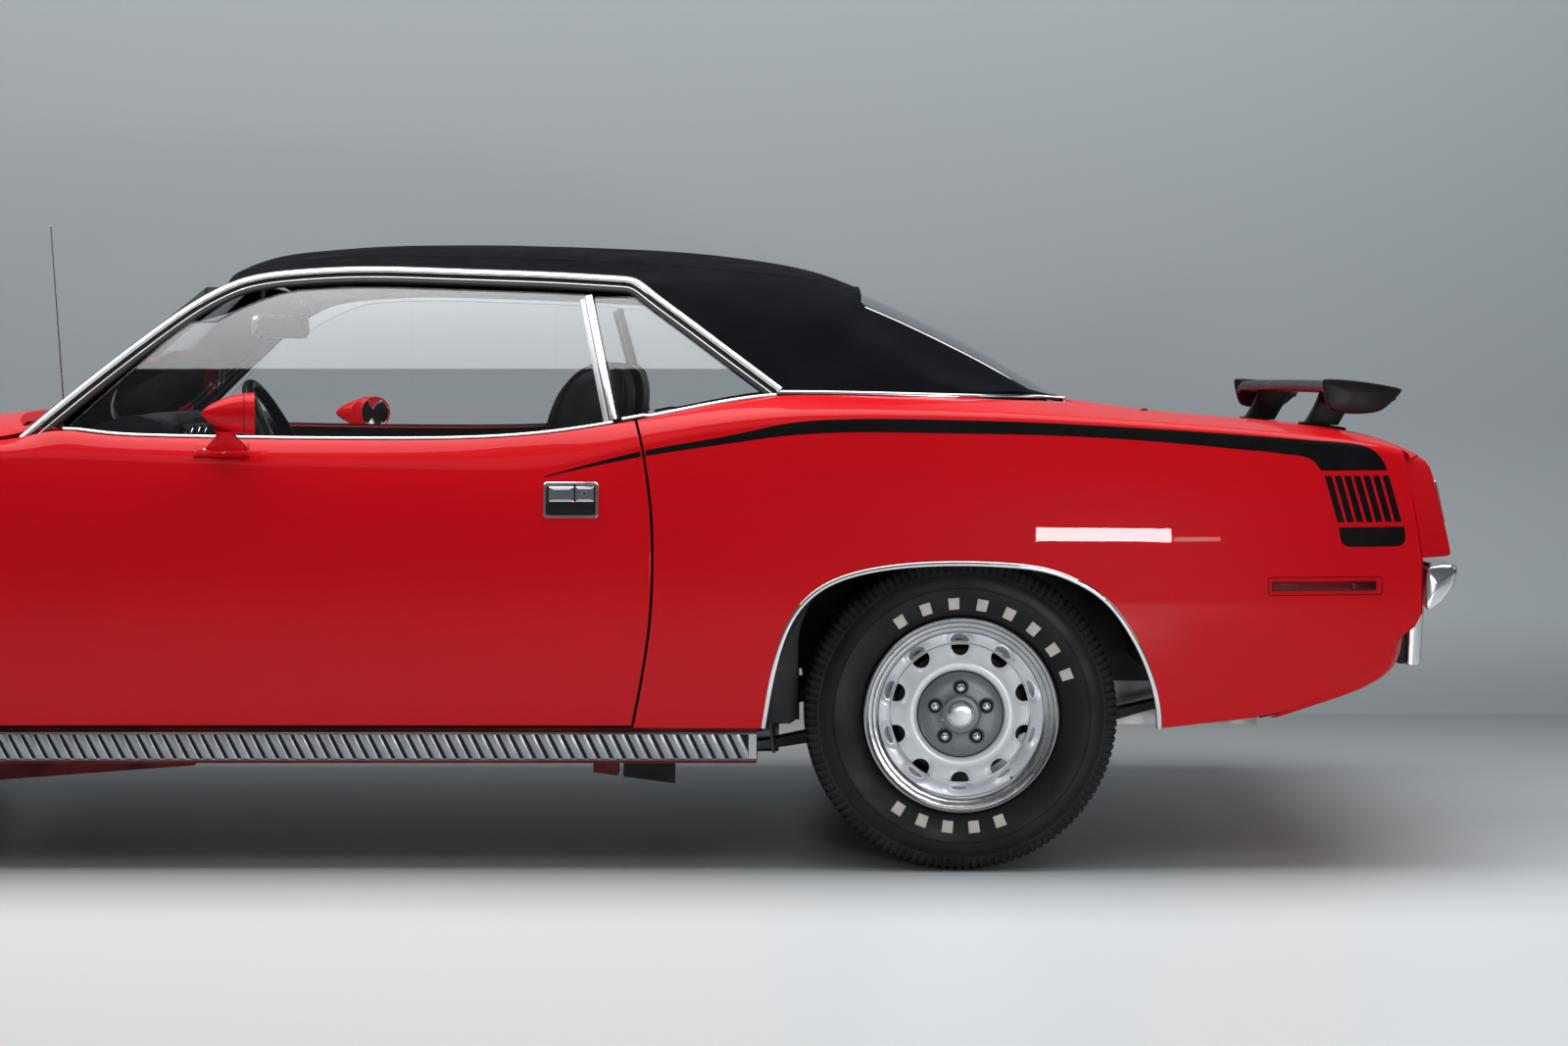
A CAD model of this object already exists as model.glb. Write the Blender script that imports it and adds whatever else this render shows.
# Muscle car: the looks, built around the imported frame.
# Metres outside, millimetres inside the surface functions. +X forward, +Y to the car's left, +Z up.
import bpy
import math
import random
import numpy as np
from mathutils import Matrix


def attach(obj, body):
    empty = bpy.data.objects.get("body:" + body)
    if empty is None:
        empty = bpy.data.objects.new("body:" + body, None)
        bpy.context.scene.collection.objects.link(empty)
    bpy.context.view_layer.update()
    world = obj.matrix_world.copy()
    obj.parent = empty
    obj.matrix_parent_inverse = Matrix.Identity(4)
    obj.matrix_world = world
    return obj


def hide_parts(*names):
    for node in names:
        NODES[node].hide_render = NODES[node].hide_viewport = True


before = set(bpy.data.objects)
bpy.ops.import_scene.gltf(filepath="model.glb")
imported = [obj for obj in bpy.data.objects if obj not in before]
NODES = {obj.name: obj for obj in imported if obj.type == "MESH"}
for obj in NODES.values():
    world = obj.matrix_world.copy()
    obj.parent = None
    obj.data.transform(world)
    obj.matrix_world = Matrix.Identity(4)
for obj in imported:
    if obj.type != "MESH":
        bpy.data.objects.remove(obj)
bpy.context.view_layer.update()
random.seed(7)

# ------------------------------------------------------------------ curves
class Spl:
    """Natural cubic through sorted points, straight outside."""

    def __init__(self, pts):
        pts = sorted(pts)
        x = np.array([p[0] for p in pts], float)
        y = np.array([p[1] for p in pts], float)
        n = len(x)
        h = np.diff(x)
        A = np.eye(n)
        d = np.zeros(n)
        for i in range(1, n - 1):
            A[i, i - 1], A[i, i], A[i, i + 1] = h[i - 1], 2 * (h[i - 1] + h[i]), h[i]
            d[i] = 6 * ((y[i + 1] - y[i]) / h[i] - (y[i] - y[i - 1]) / h[i - 1])
        self.x, self.y, self.h, self.m = x, y, h, np.linalg.solve(A, d)
        m = self.m
        self.s0 = (y[1] - y[0]) / h[0] - h[0] * (2 * m[0] + m[1]) / 6
        self.s1 = (y[-1] - y[-2]) / h[-1] + h[-1] * (m[-2] + 2 * m[-1]) / 6

    def __call__(self, q):
        q = np.asarray(q, float)
        x, y, m = self.x, self.y, self.m
        i = np.clip(np.searchsorted(x, q) - 1, 0, len(x) - 2)
        k = self.h[i]
        t0, t1 = x[i + 1] - q, q - x[i]
        r = (m[i] * t0 ** 3 + m[i + 1] * t1 ** 3) / (6 * k) + (y[i] / k - m[i] * k / 6) * t0 + (y[i + 1] / k - m[i + 1] * k / 6) * t1
        r = np.where(q < x[0], y[0] + self.s0 * (q - x[0]), r)
        return np.where(q > x[-1], y[-1] + self.s1 * (q - x[-1]), r)


class Lin:
    def __init__(self, pts):
        pts = sorted(pts)
        self.x = np.array([p[0] for p in pts], float)
        self.y = np.array([p[1] for p in pts], float)

    def __call__(self, q):
        return np.interp(q, self.x, self.y)


def lerp(a, b, t):
    return a + (b - a) * t


def smooth(t):
    t = np.clip(t, 0.0, 1.0)
    return t * t * (3 - 2 * t)


def curve(pts, n, closed=False):
    """n points, evenly spaced, on a smooth curve through pts (2-D or 3-D)."""
    P = np.array(pts, float)
    if closed:
        P = np.vstack([P[-3:-1] if np.allclose(P[0], P[-1]) else P[-2:], P, P[:3]])
    d = np.r_[0, np.cumsum(np.linalg.norm(np.diff(P, axis=0), axis=1))]
    f = [Spl(list(zip(d, P[:, k]))) for k in range(P.shape[1])]
    lo, hi = (d[2], d[-3]) if closed else (d[0], d[-1])
    t = np.linspace(lo, hi, n * 8)
    Q = np.stack([g(t) for g in f], 1)
    s = np.r_[0, np.cumsum(np.linalg.norm(np.diff(Q, axis=0), axis=1))]
    u = np.linspace(0, s[-1], n)
    return np.stack([np.interp(u, s, Q[:, k]) for k in range(P.shape[1])], 1)


def poly(pts, n):
    """n points, evenly spaced, on the straight runs through pts."""
    P = np.array(pts, float)
    d = np.r_[0, np.cumsum(np.linalg.norm(np.diff(P, axis=0), axis=1))]
    u = np.linspace(0, d[-1], n)
    return np.stack([np.interp(u, d, P[:, k]) for k in range(P.shape[1])], 1)


def uv(n, e=0.0, f=None):
    """0..1 in n steps, with one more row close to each end."""
    a = np.linspace(0, 1, n)
    if e:
        a = np.unique(np.r_[0, e, a[(a > 1.7 * e) & (a < 1 - 1.7 * (f or e))], 1 - (f or e), 1])
    return a


# ------------------------------------------------------------------ body surface, as the construction has it
REAR_AXLE_X, FRONT_AXLE_X, TYRE_R = -1302.0, 1441.0, 332.0
TYRE_W_R, TYRE_W_F, TRACK_R, TRACK_F = 245.0, 235.0, 1542.0, 1516.0
GAP = 6.0
DOOR_T = 78.0
DOOR_FRONT_X, DOOR_BOTTOM_Z = 735.0, 311.0
HOOD_HALF, HOOD_NOSE_X, LID_HALF = 755.0, 2262.0, 620.0
LID_FRONT_X, LID_REAR_X = -1606.0, -2196.0
ZS = Spl([(2340, 800), (2250, 822), (2100, 842), (1900, 860), (1600, 876), (1200, 888), (900, 893), (700, 894),
          (400, 885), (100, 877), (-150, 872), (-320, 869), (-420, 873), (-520, 892), (-627, 918), (-730, 938), (-830, 953),
          (-980, 967), (-1200, 970), (-1450, 964), (-1680, 951), (-1900, 935), (-2100, 914), (-2200, 898), (-2280, 876)])
YS = Spl([(2340, 815), (2250, 853), (2100, 880), (1850, 902), (1441, 912), (900, 906), (400, 902), (0, 902), (-400, 905),
          (-800, 915), (-1300, 922), (-1700, 917), (-2000, 896), (-2200, 866), (-2280, 850)])
ZW = 700.0
YW = Spl([(2340, 845), (2250, 884), (2100, 910), (1850, 931), (1441, 941), (900, 935), (400, 931), (0, 931), (-400, 934),
          (-800, 943), (-1300, 951), (-1700, 946), (-2000, 924), (-2200, 892), (-2280, 874)])
YB = Spl([(2340, 735), (2000, 755), (1200, 757), (900, 757), (740, 775), (640, 846), (560, 864), (300, 865), (0, 865), (-400, 865),
          (-620, 861), (-780, 845), (-914, 825), (-1050, 812), (-1200, 797), (-1350, 772), (-1480, 715), (-1560, 650),
          (-1640, 628), (-1760, 624), (-2200, 622)])
ZB = Spl([(2340, 822), (2250, 842), (2100, 866), (1900, 889), (1600, 910), (1200, 925), (900, 931), (740, 934), (607, 935),
          (500, 923), (400, 918), (197, 914), (0, 912), (-150, 912), (-330, 917), (-435, 926), (-540, 941), (-640, 959), (-751, 981),
          (-850, 998), (-930, 1006), (-1050, 1006), (-1200, 1003), (-1350, 999), (-1480, 994), (-1560, 990), (-1640, 980),
          (-1760, 966), (-1900, 953), (-2100, 935), (-2200, 919), (-2280, 893)])
ZC = Spl([(2340, 832), (2250, 858), (2100, 885), (1900, 909), (1600, 933), (1300, 946), (1100, 951), (950, 956), (860, 963),
          (807, 969), (700, 978), (0, 990), (-1000, 1006), (-1560, 1000), (-1640, 987), (-1760, 971), (-1900, 957), (-2100, 940),
          (-2200, 924), (-2280, 897)])
R_SH = 26.0


def side_y(x, z):
    yw, zs = YW(x), ZS(x)
    lo = yw - 98.0 * np.clip((ZW - z) / 500.0, 0, None) ** 3.1
    t = np.clip((z - ZW) / (zs - ZW), 0, None)
    return np.where(z <= ZW, lo, yw - (yw - YS(x)) * t ** 2.2)


def top_z(x, y):
    y = np.abs(y)
    ys, yb, zs, zb, zc = YS(x), YB(x), ZS(x), ZB(x), ZC(x)
    t = (ys - y) / (ys - yb)
    a = zs + (zb - zs) * (t * (2 - t) * 0.45 + t * 0.55)
    return np.where(y >= yb, a, zc + (zb - zc) * np.clip(y / yb, 0, 1) ** 2.4)


def body_pt(x, v, zlo, yend):
    """v 0..1 up the side from zlo, 1..2 round the shoulder, 2..3 over the top to yend."""
    x, v, zlo, yend = np.broadcast_arrays(np.asarray(x, float), v, zlo, yend)
    zs, ys = ZS(x), YS(x)
    za = lerp(zlo, zs - R_SH, np.clip(v, 0, 1))
    ya = side_y(x, za)
    y2 = ys - R_SH * 0.8
    t = np.clip(v - 1, 0, 1)
    p0y, p0z = side_y(x, zs - R_SH), zs - R_SH
    a, b, c = (1 - t) ** 2, 2 * t * (1 - t), t * t
    yb = a * p0y + b * (ys + 2.0) + c * y2
    zb = a * p0z + b * (zs + 1.0) + c * top_z(x, y2)
    yc = lerp(y2, yend, np.clip(v - 2, 0, 1))
    zc = top_z(x, yc)
    y = np.where(v <= 1, ya, np.where(v <= 2, yb, yc))
    z = np.where(v <= 1, za, np.where(v <= 2, zb, zc))
    return np.stack([x, y, z], -1)


def skin_y(x, z):
    """Half width of the outside at height z, shoulder included."""
    x, z = np.broadcast_arrays(np.asarray(x, float), np.asarray(z, float))
    zs, ys = ZS(x), YS(x)
    flat = side_y(x, np.minimum(z, zs - R_SH))
    y2 = ys - R_SH * 0.8
    p0z, p1z, p2z = zs - R_SH, zs + 1.0, top_z(x, y2)
    A, B, C = p0z - 2 * p1z + p2z, 2 * (p1z - p0z), p0z - z
    disc = np.sqrt(np.clip(B * B - 4 * A * C, 0, None))
    t = np.where(np.abs(A) < 1e-6, -C / np.where(np.abs(B) < 1e-9, 1, B), (-B + disc) / (2 * np.where(np.abs(A) < 1e-6, 1, A)))
    t = np.clip(t, 0, 1)
    y = (1 - t) ** 2 * side_y(x, p0z) + 2 * t * (1 - t) * (ys + 2.0) + t * t * y2
    lo, hi = 560.0 * np.ones_like(x), y2.copy()
    for _ in range(26):
        m = 0.5 * (lo + hi)
        up = top_z(x, m) > z
        lo, hi = np.where(up, m, lo), np.where(up, hi, m)
    return np.where(z <= p0z, flat, np.where(z <= p2z, y, 0.5 * (lo + hi)))


ZR = Spl([(330, 1291), (290, 1309), (246, 1324), (140, 1340), (24, 1349), (-150, 1353.5), (-266, 1353.5), (-382, 1351), (-558, 1345),
          (-732, 1334), (-850, 1320), (-950, 1303), (-1030, 1281), (-1095, 1254)])
ZG = Spl([(-1085, 1254), (-1150, 1227), (-1278, 1167), (-1394, 1106), (-1464, 1064), (-1544, 1016), (-1600, 981)])
ZD = Spl([(330, 1205), (303, 1222), (270, 1240), (238, 1251), (180, 1262), (129, 1267), (20, 1273), (-199, 1269), (-417, 1261), (-603, 1250),
          (-760, 1240), (-920, 1229), (-1085, 1213)])
GH_K = Spl([(400, 1.0), (-700, 1.0), (-900, 1.0), (-1050, 0.998), (-1200, 0.992), (-1350, 0.968), (-1480, 0.905), (-1560, 0.825)])
XWS = Spl([(870, 925), (938, 817), (997, 728), (1111, 553), (1204, 424), (1271, 330), (1300, 290)])
DOOR_REAR = Spl([(300, -606), (346, -616), (429, -632), (545, -648), (671, -653), (765, -650), (859, -638), (932, -623), (960, -614)])
QUARTER_LOW = Lin([(-2300, 543), (-2271, 543), (-2261, 523), (-2202, 476), (-2109, 406), (-2034, 362), (-1985, 342), (-1924, 329), (-1716, 306),
                   (-1700, 306), (-600, 306)])
TAIL_CREASE = Lin([(300, -2272), (545, -2272), (666, -2271), (901, -2232), (1000, -2215)])
REAR_ARCH = [(-888, 306), (-904, 401), (-925, 485), (-961, 558), (-1014, 605), (-1087, 633), (-1191, 649), (-1296, 653),
             (-1400, 649), (-1473, 639), (-1536, 616), (-1599, 574), (-1641, 521), (-1673, 464), (-1699, 395), (-1713, 317), (-1713.5, 306)]
FRONT_ARCH = [(1441 + 434, 306), (1441 + 424, 400), (1441 + 400, 490), (1441 + 356, 570), (1441 + 290, 625), (1441 + 200, 656),
              (1441 + 100, 671), (1441, 675), (1441 - 100, 671), (1441 - 200, 656), (1441 - 290, 625), (1441 - 356, 570), (1441 - 400, 490),
              (1441 - 424, 400), (1441 - 434, 306)]


def glass_y(z):
    t = (z - 915.0) / 335.0
    return 847.0 - 233.0 * t + 48.0 * t * (1 - t)


def gh_y(x, z):
    return glass_y(z) * GH_K(x)


def roof_z(x, y):
    y = np.abs(y)
    zr = ZR(x)
    a = zr - (zr - ZD(x) - 4.0) * (y / 612.0) ** 2.5
    return np.where(x > -1090, a, ZG(x) - 50.0 * (y / 620.0) ** 2.3)


def ws_x(y, z):
    return XWS(z) - 147.0 * (np.abs(y) / 720.0) ** 2.2


def belt_z(x):
    return body_pt(x, 3.0, DOOR_BOTTOM_Z, np.where(np.asarray(x) < 560, YB(x), 864.0))[..., 2]


def hood_rear_x(y):
    return 815.0 - 115.0 * (np.abs(y) / HOOD_HALF) ** 2


def hood_front_x(y):
    return HOOD_NOSE_X + 22.0 * (1 - (np.abs(y) / HOOD_HALF) ** 2)


# ------------------------------------------------------------------ meshes
def unit(a):
    return a / np.maximum(np.linalg.norm(a, axis=-1, keepdims=True), 1e-12)


def gnorm(P, cu=False, cv=False):
    def grad(A, axis, closed):
        if closed:
            return np.roll(A, -1, axis) - np.roll(A, 1, axis)
        return np.gradient(A, axis=axis)
    return unit(np.cross(grad(P, 0, cu), grad(P, 1, cv)))


class Mesh:
    """Gathers vertices (millimetres), faces, materials and normals."""

    def __init__(self):
        self.V, self.F, self.M, self.N, self.c = [], [], [], [], 0
        self.custom = False

    def add(self, V, F, m=0, N=None):
        V = np.asarray(V, float).reshape(-1, 3)
        self.V.append(V)
        F = [tuple(int(i) + self.c for i in f) for f in F]
        self.F += F
        self.M += [m] * len(F)
        if N is not None:
            self.custom = True
        self.N.append(np.zeros_like(V) if N is None else np.asarray(N, float).reshape(-1, 3))
        self.c += len(V)
        return self

    def grid(self, P, m=0, out=None, N=None, cu=False, cv=False, flip=False):
        """Quads over a grid of points. out is a hint: a direction or a function of the points that the normals follow."""
        P = np.asarray(P, float)
        nu, nv = P.shape[:2]
        if out is not None:
            G = gnorm(P, cu, cv)
            h = out(P) if callable(out) else np.broadcast_to(np.asarray(out, float), P.shape)
            flip = float((G * h).sum()) < 0
        idx = np.arange(nu * nv).reshape(nu, nv)
        a = idx if cu else idx[:-1]
        b = np.roll(idx, -1, 0) if cu else idx[1:]
        if cv:
            q = np.stack([a, b, np.roll(b, -1, 1), np.roll(a, -1, 1)], -1)
        else:
            q = np.stack([a[:, :-1], b[:, :-1], b[:, 1:], a[:, 1:]], -1)
        q = q.reshape(-1, 4)
        if flip:
            q = q[:, ::-1]
        V = P.reshape(-1, 3)
        # drop faces that have shrunk to a line
        A = V[q]
        d = np.linalg.norm(np.cross(A[:, 2] - A[:, 0], A[:, 3] - A[:, 1]), axis=1) > 1e-7
        self.add(V, q[d].tolist(), m, None if N is None else np.asarray(N).reshape(-1, 3))
        return self

    def fan(self, ring, m=0, out=None, centre=None):
        R = np.asarray(ring, float)
        c = R.mean(0) if centre is None else np.asarray(centre, float)
        n = len(R)
        F = [(i, (i + 1) % n, n) for i in range(n)]
        if out is not None:
            nn = sum(np.cross(R[i] - c, R[(i + 1) % n] - c) for i in range(n))
            if float(nn @ np.asarray(out, float)) < 0:
                F = [f[::-1] for f in F]
        return self.add(np.vstack([R, c]), F, m)

    def lathe(self, prof, centre, axis="y", n=96, m=0, a0=0.0, a1=360.0, flip=False):
        """prof: (radius, along) pairs turned about an axis through centre."""
        full = abs(a1 - a0) >= 359.99
        t = np.radians(np.linspace(a0, a1, n, endpoint=not full))
        r = np.array([p[0] for p in prof], float)
        a = np.array([p[1] for p in prof], float)
        C, S = np.cos(t)[:, None] * r, np.sin(t)[:, None] * r
        A = np.broadcast_to(a, C.shape)
        P = {"y": np.stack([C, A, S], -1), "x": np.stack([A, C, S], -1), "z": np.stack([C, S, A], -1)}[axis] + np.array(centre, float)
        return self.grid(P, m, cu=full, flip=(not flip) if axis != "z" else flip)

    def sweep(self, path, sec, side, up, m=0, closed=False, caps=True, flip=False, ring=True):
        """Section points (a, b) laid at path + a*side + b*up."""
        P, S, U = (np.asarray(q, float) for q in (path, side, up))
        S, U = np.broadcast_to(S, P.shape), np.broadcast_to(U, P.shape)
        sec = np.asarray(sec, float)
        G = P[:, None] + S[:, None] * sec[None, :, :1] + U[:, None] * sec[None, :, 1:2]
        T = np.gradient(P, axis=0)
        k = float((np.cross(S, U) * T).sum())
        area = 0.5 * sum(sec[i][0] * sec[(i + 1) % len(sec)][1] - sec[(i + 1) % len(sec)][0] * sec[i][1] for i in range(len(sec)))
        fl = (k * area < 0) ^ flip
        self.grid(G, m, cu=closed, cv=ring, flip=not fl)
        if caps and not closed and ring:
            self.fan(G[0], m, -T[0])
            self.fan(G[-1], m, T[-1])
        return self

    def tube(self, path, r, m=0, n=10, closed=False, caps=True):
        P = np.asarray(path, float)
        T = unit(np.gradient(P, axis=0))
        if closed:
            T = unit(np.roll(P, -1, 0) - np.roll(P, 1, 0))
        ref = np.array([0, 0, 1.0]) if abs(T[0][2]) < 0.9 else np.array([1.0, 0, 0])
        S = []
        s = unit(np.cross(T[0], ref))
        for t in T:
            s = unit(s - t * (s @ t))
            S.append(s)
        S = np.array(S)
        U = np.cross(T, S)
        a = np.linspace(0, 2 * math.pi, n, endpoint=False)
        rr = np.broadcast_to(np.asarray(r, float), (len(P),))
        G = P[:, None] + (S[:, None] * np.cos(a)[None, :, None] + U[:, None] * np.sin(a)[None, :, None]) * rr[:, None, None]
        self.grid(G, m, cu=closed, cv=True, flip=True)
        if caps and not closed:
            self.fan(G[0], m, -T[0])
            self.fan(G[-1], m, T[-1])
        return self

    def ball(self, c, r, m=0, nu=20, nv=12, half=None):
        """Ellipsoid; r is one radius or three."""
        r = np.broadcast_to(np.asarray(r, float), (3,))
        th = np.linspace(0, 2 * math.pi, nu, endpoint=False)
        ph = np.linspace(-math.pi / 2, math.pi / 2, nv) if half is None else np.linspace(0, math.pi / 2, nv)
        P = np.stack([np.cos(th)[:, None] * np.cos(ph), np.sin(th)[:, None] * np.cos(ph), np.broadcast_to(np.sin(ph), (nu, nv))], -1)
        if half == "y":
            P = P[..., [0, 2, 1]]
        elif half == "-y":
            P = P[..., [0, 2, 1]] * [1, -1, 1]
        elif half == "x":
            P = P[..., [2, 0, 1]]
        P = P * r
        return self.grid(P + np.array(c, float), m, cu=True, out=lambda Q: Q - np.array(c, float))

    def block(self, x0, x1, y0, y1, z0, z1, m=0, b=2.0, f=None):
        """Box with its edges rounded by b; f bends the finished points."""
        lo = np.array([min(x0, x1), min(y0, y1), min(z0, z1)], float)
        hi = np.array([max(x0, x1), max(y0, y1), max(z0, z1)], float)
        b = min(b, *(0.49 * (hi - lo)))
        k = 2
        ang = np.linspace(0, math.pi / 2, k + 1)
        V, F = [], []
        # rounded box by rings on a sphere of corners
        th = []
        for q in range(4):
            th += [(q, a + q * math.pi / 2) for a in ang]
        phs = [(0, -math.pi / 2 + a) for a in ang] + [(1, a) for a in ang]
        for s, ph in phs:
            for q, t in th:
                d = np.array([math.cos(t) * math.cos(ph), math.sin(t) * math.cos(ph), math.sin(ph)])
                cx = hi[0] - b if q in (0, 3) else lo[0] + b
                cy = hi[1] - b if q in (0, 1) else lo[1] + b
                cz = hi[2] - b if s else lo[2] + b
                V.append(np.array([cx, cy, cz]) + d * b)
        n = len(th)
        V = np.array(V)
        for i in range(len(phs) - 1):
            for j in range(n):
                F.append((i * n + j, i * n + (j + 1) % n, (i + 1) * n + (j + 1) % n, (i + 1) * n + j))
        A = V[np.array(F)]
        ok = np.linalg.norm(np.cross(A[:, 2] - A[:, 0], A[:, 3] - A[:, 1]), axis=1) > 1e-7
        F = [f_ for f_, o in zip(F, ok) if o]
        F.append(tuple(range(n))[::-1])
        F.append(tuple(range((len(phs) - 1) * n, len(phs) * n)))
        if f is not None:
            V = f(V)
        return self.add(V, F, m)

    def mirror(self):
        """The same, reflected in y."""
        r = Mesh()
        r.V = [v * [1, -1, 1] for v in self.V]
        r.N = [v * [1, -1, 1] for v in self.N]
        r.F = [f[::-1] for f in self.F]
        r.M = list(self.M)
        r.c, r.custom = self.c, self.custom
        return r

    def obj(self, name, mats, body="root", sharp=35.0, slot=None, replaces=(), at=None, turn=None, merge=True):
        me = bpy.data.meshes.new(name)
        V = np.vstack(self.V) * 0.001
        me.from_pydata(V.tolist(), [], self.F)
        mats = mats if isinstance(mats, (list, tuple)) else [mats]
        for q in mats:
            me.materials.append(q)
        me.polygons.foreach_set("material_index", np.array(self.M, np.int32))
        me.update()
        me.shade_smooth()
        if self.custom:
            N = np.vstack(self.N)
            me.normals_split_custom_set_from_vertices(unit(N + 1e-9).tolist())
        else:
            if merge:
                import bmesh
                bm = bmesh.new()
                bm.from_mesh(me)
                bmesh.ops.remove_doubles(bm, verts=bm.verts, dist=1e-6)
                bm.to_mesh(me)
                bm.free()
            me.set_sharp_from_angle(angle=math.radians(sharp))
        o = bpy.data.objects.new(name, me)
        bpy.context.scene.collection.objects.link(o)
        if at is not None:
            o.location = [q * 0.001 for q in at]
        if turn is not None:
            o.rotation_euler = turn
        if body is not None:
            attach(o, body)
        if replaces:
            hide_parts(*([replaces] if isinstance(replaces, str) else replaces))
        return o


def shell(M, O, I, out, mo=0, mi=1, r=1.5, deep=None):
    """Closed panel between grids O (seen) and I (back), its seen edge rounded; true normals."""
    M.custom = True
    N = gnorm(O)
    h = out(O) if callable(out) else np.broadcast_to(np.asarray(out, float), O.shape)
    s = 1.0 if float((N * h).sum()) > 0 else -1.0
    N = N * s
    nu, nv = O.shape[:2]
    P = O.copy()
    NN = N.copy()
    edges = []
    for name, sl, inner in (("u0", (0, slice(None)), (1, slice(None))), ("u1", (nu - 1, slice(None)), (nu - 2, slice(None))),
                            ("v0", (slice(None), 0), (slice(None), 1)), ("v1", (slice(None), nv - 1), (slice(None), nv - 2))):
        E = O[sl] - O[inner]
        E = unit(E - N[sl] * (E * N[sl]).sum(-1, keepdims=True))
        edges.append((sl, E))
    for sl, E in edges:
        P[sl] = P[sl] - N[sl] * (0.35 * r)
        NN[sl] = NN[sl] + E * 0.9
    NN = unit(NN)
    idx = np.arange(nu * nv).reshape(nu, nv)
    q = np.stack([idx[:-1, :-1], idx[1:, :-1], idx[1:, 1:], idx[:-1, 1:]], -1).reshape(-1, 4)
    if s < 0:
        q = q[:, ::-1]
    M.add(P, q.tolist(), mo, NN)
    NI = gnorm(I)
    NI = NI * (-1.0 if float((NI * N).sum()) > 0 else 1.0)
    # the back is drawn with every third row and column of the grid
    ku = sorted(set(range(0, nu, 3)) | {nu - 1})
    kv = sorted(set(range(0, nv, 3)) | {nv - 1})
    ji = np.arange(len(ku) * len(kv)).reshape(len(ku), len(kv))
    qi = np.stack([ji[:-1, :-1], ji[1:, :-1], ji[1:, 1:], ji[:-1, 1:]], -1).reshape(-1, 4)
    if s > 0:
        qi = qi[:, ::-1]
    M.add(I[np.ix_(ku, kv)], qi.tolist(), mi, NI[np.ix_(ku, kv)])
    for sl, E in edges:
        p, n, b = O[sl], N[sl], I[sl]
        a = P[sl]
        q1 = p - n * r
        k = len(p)
        V = np.vstack([a, q1, b])
        nn = np.vstack([unit(n + 0.9 * E), E, E])
        F = []
        for j in range(2):
            for i in range(k - 1):
                F.append((j * k + i, j * k + i + 1, (j + 1) * k + i + 1, (j + 1) * k + i))
        A = V[np.array(F)]
        fn = np.cross(A[:, 2] - A[:, 0], A[:, 3] - A[:, 1])
        if float((fn * np.vstack([E[:-1]] * 2)).sum()) < 0:
            F = [f[::-1] for f in F]
        M.add(V, F, mo if deep is None else deep, nn)
    return M


# ------------------------------------------------------------------ materials
def nodes_of(m):
    m.use_nodes = True
    t = m.node_tree
    return t, t.nodes, t.links


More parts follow.
